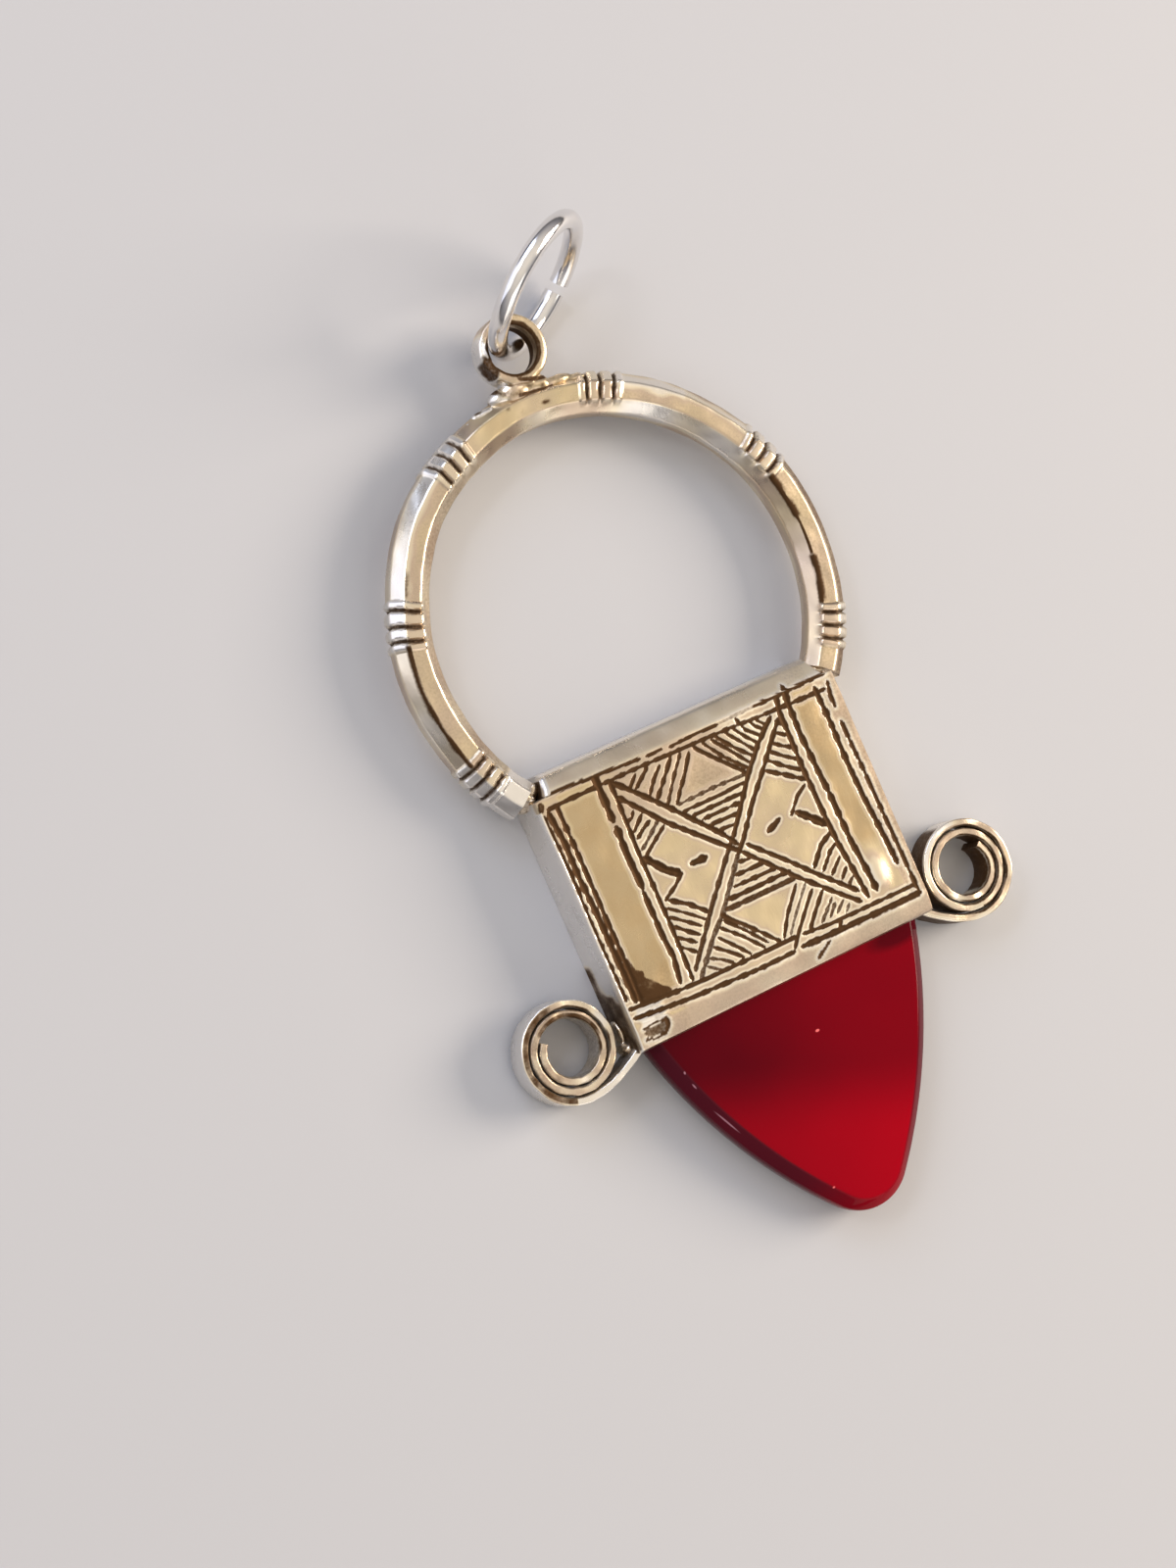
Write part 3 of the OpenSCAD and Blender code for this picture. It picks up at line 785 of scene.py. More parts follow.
class PENDANT_OT_box(bpy.types.Operator):
    """Models the hollow box with its engraved front"""
    bl_idname = "pendant.box"
    bl_label = "Engraved box"

    # Widths and levels of the box in millimetres, measured from its middle and its back
    shoulder_y = 5.22
    strip_left = (-7.02, -6.72)
    strip_right = (7.1, 6.63)
    top_drop = 0.5
    low_edge_y = -5.3
    low_drop = 0.18
    mouth_low = 0.35
    mouth_high = 2.15
    mouth_side = 7.1
    mouth_depth = 11.1
    wall_levels = (mouth_high, 1.7, 1.3, 0.9, mouth_low, 0.08, 0.0)
    # How far in the front is worn round from its left, right, top and bottom edges
    worn_edges = (0.13, 0.06, 0.24, 0.14)
    # Middle and half size on the chart of the dent in the lower left corner and of the bulge in
    # the lower right one, and how far they go in or out
    dent = ((-6.6, -16.75), (0.52, 0.32))
    dent_depth = 0.035
    bulge = ((5.72, -14.75), (0.42, 0.95))
    bulge_rise = 0.045
    # The two burrs above the dent: y on the chart where x is burr_x, fall to the right, and width
    burrs = ((-15.84, 0.05, 0.16), (-16.24, 0.12, 0.14))
    burr_x = -6.2
    burr_rise = 0.045

    def execute(self, context):
        sizes = context.scene.pendant_box
        width = sizes.width / MM
        height = sizes.height / MM
        pitch = sizes.grid / MM
        # The rows of the engraved part lie closer than the others, so 6 % fewer do
        columns = round(width / pitch)
        rows = round(height / pitch * 0.94)
        bpy.ops.object.select_all(action="DESELECT")
        bpy.ops.mesh.primitive_grid_add(
            x_subdivisions=columns, y_subdivisions=rows, size=2 * MM, location=(0, 0, 0))
        box = context.object
        box.name = "engraved_box"
        u, v, _ = points_of(box).T
        x, y = self.front_places(u, v, width, height)
        chart_y = y - context.scene.pendant_hoop.centre / MM
        # Distance of each point from the left, right, top and bottom edges of the front
        edges = ((1 + u) * width / 2, (1 - u) * width / 2, height / 2 - y, y + height / 2)
        slopes = (self.top_slope(y, height), self.low_slope(y, height))
        cuts, dark, near = engrave(x, chart_y, STROKES)
        z = self.front_relief(
            x, y, chart_y, edges, slopes, sizes.depth / MM, sizes.cut_share * cuts)
        set_points(box, np.column_stack([x, y, z]))
        self.paint_front(box, x, y, chart_y, edges, slopes, dark, near)
        self.close_sides(box)
        self.open_mouth(box)
        outward(box)
        self.paint_sides(box)
        finish_piece(
            box, "silver_frame", worn_silver("worn_silver_box", context.scene.pendant_finish))
        return {"FINISHED"}

    def top_slope(self, y, height):
        """0 on the flat part of the front, rising to 1 at its top edge"""
        return np.clip((y - self.shoulder_y) / (height / 2 - self.shoulder_y), 0, 1)

    def low_slope(self, y, height):
        """0 on the flat part of the front, rising to 1 at its bottom edge"""
        return np.clip((self.low_edge_y - y) / (self.low_edge_y + height / 2), 0, 1)

    def front_places(self, u, v, width, height):
        """Spreads the grid over the front: its rows lie closer on the engraved part, and the
        strip at the top is narrower"""
        shares = np.array([0.0, 0.045, 0.955, 1.0])
        levels = np.array([-height / 2, self.low_edge_y, self.shoulder_y, height / 2])
        y = np.interp((v + 1) / 2, shares, levels)
        x = u * width / 2
        up = self.top_slope(y, height)
        left = self.strip_left[0] + (self.strip_left[1] - self.strip_left[0]) * up ** 0.6
        right = self.strip_right[0] + (self.strip_right[1] - self.strip_right[0]) * up ** 0.6
        narrow = left + (right - left) * (u + 1) / 2
        return np.where(y > self.shoulder_y + 0.01, narrow, x), y

    def burr_span(self, x):
        """1 along the burrs, and 0 past their ends"""
        return ease(-5.55, -6.1, x) * ease(-7.25, -7.0, x)

    def front_relief(self, x, y, chart_y, edges, slopes, depth, cut_depth):
        """Height of the front over the back of the box"""
        up, low = slopes
        z = np.full(x.shape, depth - 0.015)
        z -= self.top_drop * up ** 1.15 + self.low_drop * low ** 1.1
        z += 0.012 * ripple(3.0, 3, x, y) + 0.006 * ripple(1.1, 4, x, y) - 0.012
        for away, radius in zip(edges, self.worn_edges):
            inside = np.clip(radius - away, 0, radius)
            z -= radius - np.sqrt(radius ** 2 - inside ** 2)
        z -= cut_depth
        z -= self.dent_depth * ease(1.15, 0.4, spot_distance(x, chart_y, *self.dent))
        for level, fall, wide in self.burrs:
            away = np.abs(chart_y - level + fall * (x - self.burr_x))
            z += self.burr_rise * self.burr_span(x) * ease(wide, 0.0, away)
        z += self.bulge_rise * ease(1.5, 0.0, spot_distance(x, chart_y, *self.bulge))
        return z

    def paint_front(self, box, x, y, chart_y, edges, slopes, dark, near):
        """Leaves oxide in the cuts, and tarnish that is worn off beside them. Painted highlights
        lighten the lands beside the cuts, the burrs, the top and left edges and the bulge.
        """
        from_left, _, from_top, _ = edges
        up, low = slopes
        # The engraved flat, and on it the two upright strips, the upper middle and the right margin
        flat = ease(5.25, 5.0, y) * ease(-5.35, -5.1, y)
        strip = ease(-6.6, -6.4, x) * ease(-4.8, -5.0, x)
        strip = np.maximum(strip, ease(5.0, 5.3, x) * ease(6.5, 6.3, x) * ease(-14.0, -13.0, chart_y))
        upper = ease(-9.0, -8.0, chart_y) * ease(-4.0, -3.5, x) * ease(3.0, 2.0, x)
        margin = ease(6.55, 6.7, x) * flat
        # The burrs above the dent, which are painted bright as a highlight
        burr_highlight = self.burr_span(x) * ease(-15.6, -15.7, chart_y) * ease(-16.5, -16.4, chart_y)
        bulge = spot_distance(x, chart_y, *self.bulge)
        # Warm tarnish on the flats
        tarnish = 0.3 - (0.12 + 0.008 * x) * (up > 0)
        tarnish += flat * (0.28 + 0.38 * strip - 0.16 * upper * (1 - strip))
        tarnish += 0.04 * ripple(2.4, 6, x, y) - 0.25 * margin
        # Painted highlight: the tarnish fades out along the top edge, so that its rounding shows
        # bright
        tarnish *= 0.2 + 0.8 * ease(0.14, 0.26, from_top)
        # Beside the cuts the tarnish is worn off, and taken off further as a painted highlight along
        # the burrs, less so in the upper middle
        tarnish *= 1 - near * (0.8 - 0.5 * ease(-9.2, -7.8, chart_y) * ease(2.5, 1.0, x))
        # Painted highlight on the burrs
        tarnish *= 1 - 0.9 * burr_highlight
        # Painted highlight: the tarnish is taken off over the bulge in the lower right, so that it
        # shows bright
        tarnish *= 1 - 0.7 * ease(1.4, 0.4, bulge)
        # Oxide, and a grey darkening on the sloping strips, the right margin and in the upper middle
        patina = np.maximum(dark, self.front_stains(x, chart_y))
        grey = np.maximum(1.3 * margin, (0.9 + 0.35 * low * ease(0.0, 5.0, x)) * (1 - flat))
        grey = np.maximum(grey, 1.32 * upper * flat * (1 - near))
        # The grey stops short of the top edge, for the same painted highlight
        grey *= ease(0.15, 0.27, from_top)
        patina = np.maximum(patina, (0.41 - 0.11 * (up > 0)) * grey)
        patina = np.maximum(patina, 0.43 * strip * (x > 0) * ease(-12.0, -8.0, chart_y))
        # The left edge and the left end of the top strip are painted bare: a painted highlight along
        # their rounding
        edge = ease(0.14, 0.08, from_left) * (chart_y < -6.5)
        edge = np.maximum(edge, ease(0.34, 0.24, from_left) * ease(0.0, 0.1, up))
        patina *= 1 - edge
        tarnish *= 1 - edge
        # Darker towards the bottom of the left strip
        patina = np.maximum(patina, 0.46 * strip * (x < 0) * ease(-12.0, -15.0, chart_y))
        paint(box, "patina", patina)
        paint(box, "tarnish", np.clip(tarnish, 0, 1))

    def front_stains(self, x, y):
        """Oxide left on the front outside the cuts, by its place on the chart"""
        stain = np.zeros(x.shape)
        for middle, half, strength in FRONT_STAINS:
            off = spot_distance(x, y, middle, half) + 0.2 * ripple(0.4, 9, x, y)
            stain = np.maximum(stain, strength * ease(1.2, 0.8, off))
        top, high, left, wide = STAIN_WEDGE
        down = (top - y) / high
        right = left + wide * np.clip(down, 0, 1) ** 2 + 0.07 * ripple(0.5, 10, x, y)
        wedge = ease(right + 0.06, right - 0.06, x) * ease(left - 0.1, left, x)
        wedge *= ease(0.0, 0.2, down) * ease(1.05, 1.0, down)
        stain = np.maximum(stain, wedge * (0.96 + 0.08 * ripple(0.7, 13, x, y)))
        # Mottling between the lines at the left edge
        streaks = ease(0.0, 0.9, ripple(0.35, 11, x * 2.5, y * 0.6))
        band = ease(-7.3, -7.2, x) * ease(-6.62, -6.72, x)
        band *= ease(-8.0, -12.5, y) * ease(-15.5, -15.3, y)
        return np.maximum(stain, 0.75 * band * streaks)

    def close_sides(self, box):
        """Takes the rim of the front down to the back in a few steps, and closes the back"""
        edit_all(box)
        bpy.ops.mesh.region_to_loop()
        for level in self.wall_levels:
            bpy.ops.mesh.extrude_edges_move(TRANSFORM_OT_translate={"value": (0, 0, 0)})
            bpy.ops.object.mode_set(mode="OBJECT")
            points = points_of(box)
            chosen = np.zeros(len(points), bool)
            box.data.vertices.foreach_get("select", chosen)
            points[chosen, 2] = np.minimum(level, points[chosen, 2] - 0.05)
            set_points(box, points)
            bpy.ops.object.mode_set(mode="EDIT")
        bpy.ops.mesh.fill()
        bpy.ops.object.mode_set(mode="OBJECT")

    def open_mouth(self, box):
        """Pushes the middle of the lower side up into the box, as the seat of the stone"""
        edit_all(box)
        bpy.ops.mesh.select_mode(type="FACE")
        bpy.ops.mesh.select_all(action="DESELECT")
        bpy.ops.object.mode_set(mode="OBJECT")
        points = points_of(box)
        low_y = points[:, 1].min()
        for polygon in box.data.polygons:
            corners = points[list(polygon.vertices)]
            polygon.select = bool(
                (corners[:, 1] < low_y + 0.01).all()
                and (np.abs(corners[:, 0]) < self.mouth_side).all()
                and (corners[:, 2] < self.mouth_high + 0.01).all()
                and (corners[:, 2] > self.mouth_low - 0.01).all())
        bpy.ops.object.mode_set(mode="EDIT")
        bpy.ops.mesh.extrude_region_move(
            TRANSFORM_OT_translate={"value": (0, self.mouth_depth * MM, 0)})
        bpy.ops.mesh.select_mode(type="VERT")
        bpy.ops.object.mode_set(mode="OBJECT")

    def paint_sides(self, box):
        """Clears the paint that the rim handed down, darkens the inside, and leaves the oxide
        where the left coil meets the wall"""
        x, y, z = points_of(box).T
        below = (z <= self.mouth_high + 0.001) & ((y < 6.0) | (z < 1.8))
        inside = below & (y > y.min() + 1) & (np.abs(x) < self.mouth_side + 0.05)
        inside &= (z > self.mouth_low - 0.01) & (y < 6.0)
        mottle = np.clip(0.1 + 0.25 * ripple(1.5, 12, x, y, z), 0, 0.4) * ease(6.0, 0.0, y)
        left_wall = ease(-7.3, -7.4, x)
        smear = left_wall * ease(-2.6, -3.1, y + 0.15 * ripple(0.9, 14, y, z) + 0.45 * z)
        spike = left_wall * ease(-2.0, -2.3, y) * ease(0.7, 0.4, z)
        smear = np.maximum(smear, spike) * (0.8 + 0.1 * ripple(0.8, 15, y, z))
        patina = np.where(below, np.maximum(mottle, smear), values_of(box, "patina"))
        paint(box, "patina", np.where(inside, 0.9, patina))
        paint(box, "tarnish", np.where(below, 0.5 * smear, values_of(box, "tarnish")))


class PENDANT_OT_hoop(bpy.types.Operator):
    """Models the eight-sided hoop with its filed rings"""
    bl_idname = "pendant.hoop"
    bl_label = "Hoop"

    left_end = -127.0
    right_end = 128.0
    steps = 720
    flat_marks = (0.06, 0.13, 0.37, 0.63, 0.87, 0.94)
    groove_depth = 0.12
    groove_half = 0.13
    bead_rise = 0.095
    end_bead = 2.4
    # Length in millimetres of a degree of the hoop and of the bar's section, for the unevenness
    hoop_degree = 0.17
    section_degree = 0.02

    def execute(self, context):
        sizes = context.scene.pendant_hoop
        radius = sizes.radius / MM
        level = sizes.level / MM
        centre = sizes.centre / MM
        start = math.radians(90 - self.right_end)
        ring = []
        for out, up in self.section(sizes.bar / MM):
            reach = radius + out
            ring.append((reach * math.cos(start), centre + reach * math.sin(start), level + up))
        hoop = wire_loop("hoop", ring)
        spin_loop(
            hoop, self.steps, math.radians(self.right_end - self.left_end),
            place=(0, centre), axis=(0, 0, -1))
        self.file_rings(hoop, radius, level, centre)
        finish_piece(
            hoop, "silver_frame",
            worn_silver("worn_silver_hoop", context.scene.pendant_finish, 3.0))
        return {"FINISHED"}

    def section(self, bar):
        """Eight flats with narrow worn corners, as distances outwards and upwards"""
        corner = bar / 2 / math.cos(math.pi / 8)
        turns = [math.radians(45 * k - 22.5) for k in range(9)]
        corners = [(corner * math.cos(a), corner * math.sin(a)) for a in turns]
        return [
            (ax + (bx - ax) * t, ay + (by - ay) * t)
            for (ax, ay), (bx, by) in zip(corners, corners[1:]) for t in self.flat_marks]

    def file_rings(self, hoop, radius, level, centre):
        """Files the grooves, raises the beads between them, and wears the bar a little"""
        points = points_of(hoop)
        x = points[:, 0]
        y = points[:, 1] - centre
        around = np.hypot(x, y)
        angle = np.degrees(np.arctan2(x, y))
        along = angle * self.hoop_degree
        out = around - radius
        up = points[:, 2] - level
        section = np.degrees(np.arctan2(up, out))
        from_middle = np.hypot(out, up)
        facing = ease(-50, -15, section) * ease(128, 108, section)
        shrink = 0.02 * ripple(6.0, 21, along, section * self.section_degree) + 0.022
        shrink += 0.008 * ripple(1.2, 22, along, section * 0.03)
        dark = np.zeros(len(points))
        bead = np.zeros(len(points))
        for number, (middle, grooves) in enumerate(RING_GROUPS):
            turn = angle - middle - 0.5 * ripple(1.0, 30 + number, section / 180)
            for groove in grooves:
                away = np.abs(turn - groove) * math.pi / 180 * radius
                away += 0.02 * ripple(0.6, 40 + number, section * self.section_degree)
                shrink += self.groove_depth * facing * np.clip(
                    1 - (away / self.groove_half) ** 2, 0, 1)
                dark = np.maximum(
                    dark, 0.85 * facing * ease(self.groove_half, self.groove_half * 0.4, away))
            marks = (grooves[0] - self.end_bead, *grooves, grooves[-1] + self.end_bead)
            for low, high in zip(marks, marks[1:]):
                across = (turn - (low + high) / 2) / ((high - low) / 2)
                bead = np.maximum(bead, facing * np.clip(1 - across ** 4, 0, 1))
        shrink -= self.bead_rise * bead
        keep = 1 - shrink / np.maximum(from_middle, 0.3)
        ends = (angle < self.left_end + 0.05) | (angle > self.right_end - 0.05)
        keep = np.where(ends, np.minimum(keep, 1.0), keep)
        new_around = radius + out * keep + 0.03 * ripple(9.0, 60, along)
        points[:, 0] = x / around * new_around
        points[:, 1] = y / around * new_around + centre
        points[:, 2] = level + up * keep
        set_points(hoop, points)
        self.paint_hoop(hoop, angle, section, self.ridge_lines(angle, around, up), dark, bead)

    def ridge_lines(self, angle, around, up):
        """The dark lines along the ridges, above 0, and the painted highlights, below 0"""
        along = angle * self.hoop_degree
        lines = []
        for low, high, at, wide, strength in RIDGE_TARNISH_AND_HIGHLIGHTS:
            span = ease(low - 1, low + 1.5, angle) * ease(high + 1, high - 1.5, angle)
            off = np.abs(around - at + 0.012 * ripple(3.6, 70, along)) / wide
            off *= 1 + 0.12 * ripple(1.6, 71, along)
            lines.append(strength * span * ease(1.2, 0.5, off) * (up > 0))
        return lines

    def paint_hoop(self, hoop, angle, section, lines, dark, bead):
        """Leaves oxide in the grooves and along the ridges, and tarnish by the flat, with painted
        highlights and painted shade on some facets
        """
        patina = np.maximum.reduce([dark, *lines])
        # Painted highlights from the table, where the tarnish and the oxide are taken off so that the
        # ridge shows bright
        rubbed = -np.minimum.reduce([np.zeros(len(angle)), *lines])
        front = ease(62, 70, section) * ease(118, 110, section)
        inner = ease(112, 120, section)
        outer = ease(10, 20, section) * ease(68, 58, section)
        right = ease(58, 74, angle)
        under_eye = np.abs(angle + 2)
        tarnish = 0.25 + 0.2 * front + 0.06 * ripple(4.0, 75, angle * self.hoop_degree)
        tarnish += 0.15 * inner * ease(60, 75, angle)
        # Painted light: the inner facets at the upper right are painted lighter
        tarnish -= 0.2 * inner * ease(18, 26, angle) * ease(72, 60, angle)
        tarnish -= 0.2 * bead + 0.6 * ease(-119, -121, angle)
        tarnish += 0.18 * ease(24, 8, under_eye) * ease(118, 110, section)
        # Painted reflection: the outer facets on the left half are painted lighter, and the painted
        # highlights of the ridge table take the tarnish off
        tarnish = np.clip(tarnish - 0.1 * outer * ease(-20, -35, angle), 0, 1) * (1 - rubbed)
        grey = (0.41 - 0.16 * ease(24, 16, under_eye) + 0.07 * right) * front
        # Painted shade: the outer facets on the right half and the inner facets on the left half are
        # painted darker
        grey = np.maximum(grey, (0.54 + 0.2 * right) * outer * ease(20, 35, angle))
        grey = np.maximum(grey, 0.57 * inner * ease(-20, -35, angle))
        grey *= (1 - 0.4 * bead) * ease(-121, -118, angle) * (1 - rubbed)
        paint(hoop, "patina", np.maximum(patina, grey))
        paint(hoop, "tarnish", tarnish)


class PENDANT_OT_coils(bpy.types.Operator):
    """Models the two coils of flat strip wound on edge"""
    bl_idname = "pendant.coils"
    bl_label = "Side coils"

    low = 0.3
    high = 1.9
    centre_x = 10.1
    tail_end = (7.25, -6.05)
    tail_bend = 1.35
    tail_steps = 40
    spiral_steps = 420
    # Rough length of a step along the strip, for its unevenness
    step = 0.09
    # The strip stands this much clear of its lowest level
    foot_gap = 0.02

    def execute(self, context):
        material = worn_silver("worn_silver_coils", context.scene.pendant_finish, 7.0)
        for name, side, centre_y in (("left_coil", -1, -4.85), ("right_coil", 1, -5.2)):
            coil = self.wind(context.scene.pendant_coils, name, side, centre_y)
            finish_piece(coil, "silver_frame", material, smooth=50.0)
        return {"FINISHED"}

    def centre_line(self, sizes, centre_y):
        """Middle line of the strip for a left coil, from the box to the inner end"""
        radius = sizes.radius / MM - sizes.strip / MM / 2
        start = np.array([0.0, -radius])
        bend = np.array([self.tail_bend, -radius])
        end = np.array([self.centre_x - self.tail_end[0], self.tail_end[1] - centre_y])
        tail = []
        for s in np.linspace(1, 0, self.tail_steps, endpoint=False):
            tail.append((1 - s) ** 2 * start + 2 * s * (1 - s) * bend + s * s * end)
        turns = np.linspace(0, sizes.turns, self.spiral_steps)
        reach = radius - sizes.pitch / MM * turns
        spiral = np.column_stack([
            -reach * np.sin(math.tau * turns), -reach * np.cos(math.tau * turns)])
        return np.vstack([tail, spiral])

    def wind(self, sizes, name, side, centre_y):
        """One coil; side is -1 for the left one and 1 for the right one"""
        line = self.centre_line(sizes, centre_y)
        way = np.gradient(line, axis=0)
        way /= np.linalg.norm(way, axis=1)[:, None]
        across = np.column_stack([-way[:, 1], way[:, 0]])
        half = sizes.strip / MM / 2
        section = self.section(half)
        seed = 80 if side < 0 else 90
        along = np.arange(len(line)) * self.step
        thick = 0.98 - 0.04 * (1 + ripple(0.9, seed, along))
        lift = 0.03 * ripple(2.2, seed + 1, along) - 0.03
        rings = []
        for place, push, wide, rise in zip(line, across, thick, lift):
            ring = []
            for sx, sz in section:
                spot = place + push * sx * wide
                share = sz / (self.high - self.low)
                level = self.low + self.foot_gap + sz * (1 - self.foot_gap) + rise * share
                ring.append((side * (self.centre_x - spot[0]), centre_y + spot[1], level))
            rings.append(ring)
        coil = ringed_piece(name, rings)
        # Number of turns wound at each step, which is below 0 on the tail
        turn = np.concatenate([
            np.full(self.tail_steps, -0.1), np.linspace(0, sizes.turns, self.spiral_steps)])
        self.paint_coil(
            coil, side, centre_y, np.tile([sx / half for sx, _ in section], len(line)),
            np.repeat(turn, len(section)))
        outward(coil)
        return coil

    def section(self, half):
        """Outline of the upright strip: across and up from the middle of its foot"""
        height = self.high - self.low
        round_r = 0.07
        side = half - round_r
        top = height - round_r
        outline = round_corner(side, top, round_r, 0)
        outline += [(half * share, height) for share in (0.4, 0.2, 0.0, -0.2, -0.4)]
        outline += round_corner(-side, top, round_r, 90)
        # The inner side swells a little, so that the turns almost touch
        outline += [(-half - 0.05, height - 0.17), (-half - 0.05, height - 0.5)]
        outline += round_corner(-side, round_r, round_r, 180)
        outline += round_corner(side, round_r, round_r, 270)
        outline += [(half, height - 0.5), (half, height - 0.22)]
        return outline

    def paint_coil(self, coil, side, centre_y, across, turn):
        """Leaves oxide between the turns, oxide with painted shade in the hole's far side and where a
        coil meets the box, and painted highlights on the outer wall, the tail and a few spots.
        across is -1 on the strip's inner side and 1 on its outer side"""
        x, y, z = points_of(coil).T
        x = side * x - self.centre_x
        y = y - centre_y
        way = np.degrees(np.arctan2(y, x))
        top = ease(self.high - 0.2, self.high - 0.06, z)
        flank = 1 - top
        rough = ripple(0.6, 95 + side, x, y, z)
        slow = ripple(1.4, 97 + side, x, y)
        first = (turn > 0) & (turn < 1.0)
        outside = (turn < 1.0) & (across > 0)

        def arc(middle, half):
            """1 where the way from the coil's middle is within half of another, 0 well past it"""
            return ease(half + 12, half - 12, np.abs((way - middle + 180) % 360 - 180))

        if side < 0:
            # The outer wall is painted bright as a painted reflection, brown covers the far side of
            # the first turn, and the gap is widest where it faces up and towards the box. Painted
            # highlights also lighten a spot on the first turn and the top of the tail.
            hole = (turn > 1.3) & (across < -0.9)
            patina = flank * np.where(outside, 0.1, np.where(hole, 0.58, 0.7))
            brown = 0.82 * arc(0, 88) * first * ease(0.7, 0.5, across)
            brown = np.maximum(brown, 0.54 * arc(30, 85) * (turn > 1.0))
            last = (turn > 1.3) & (turn < 1.9)
            brown = np.maximum(brown, 0.86 * arc(110, 70) * last * ease(0.3, 0.0, across))
            seam = arc(150, 60)
            bright = outside * (across > 0.75) * arc(40, 80)
            bright = np.maximum(bright, 0.9 * arc(158, 14) * first * top)
            bright = np.maximum(bright, 0.9 * (turn < 0.05) * top)
        else:
            # Dark where it faces the box and in its hole, partly oxide and partly painted shade, and a
            # painted highlight at the upper left and on the tail
            patina = flank * np.where(outside, 0.9 * arc(190, 90), 0.35 + 0.6 * arc(0, 80))
            brown = 0.5 * arc(150, 70) * (turn > 1.0)
            seam = arc(-20, 105)
            bright = top * first * (across > -0.3) * arc(125, 45)
            bright = np.maximum(bright, 0.5 * (turn < 0.05) * top * (across > 0))
        patina = np.maximum(patina, top * brown * (1 + 0.08 * rough))
        edge = ease(0.68 - 0.28 * seam, 0.86 - 0.2 * seam, np.abs(across) - 0.14 * slow)
        patina = np.maximum(patina, (0.6 + 0.28 * seam) * edge * top * ~outside)
        patina = np.maximum(patina, top * (0.36 + 0.05 * rough) * (turn > 0))
        patina *= 1 - bright
        paint(coil, "patina", np.clip(patina, 0, 1))
        paint(coil, "tarnish", np.clip((0.28 * top + 0.1 * slow) * (1 - bright), 0, 1))


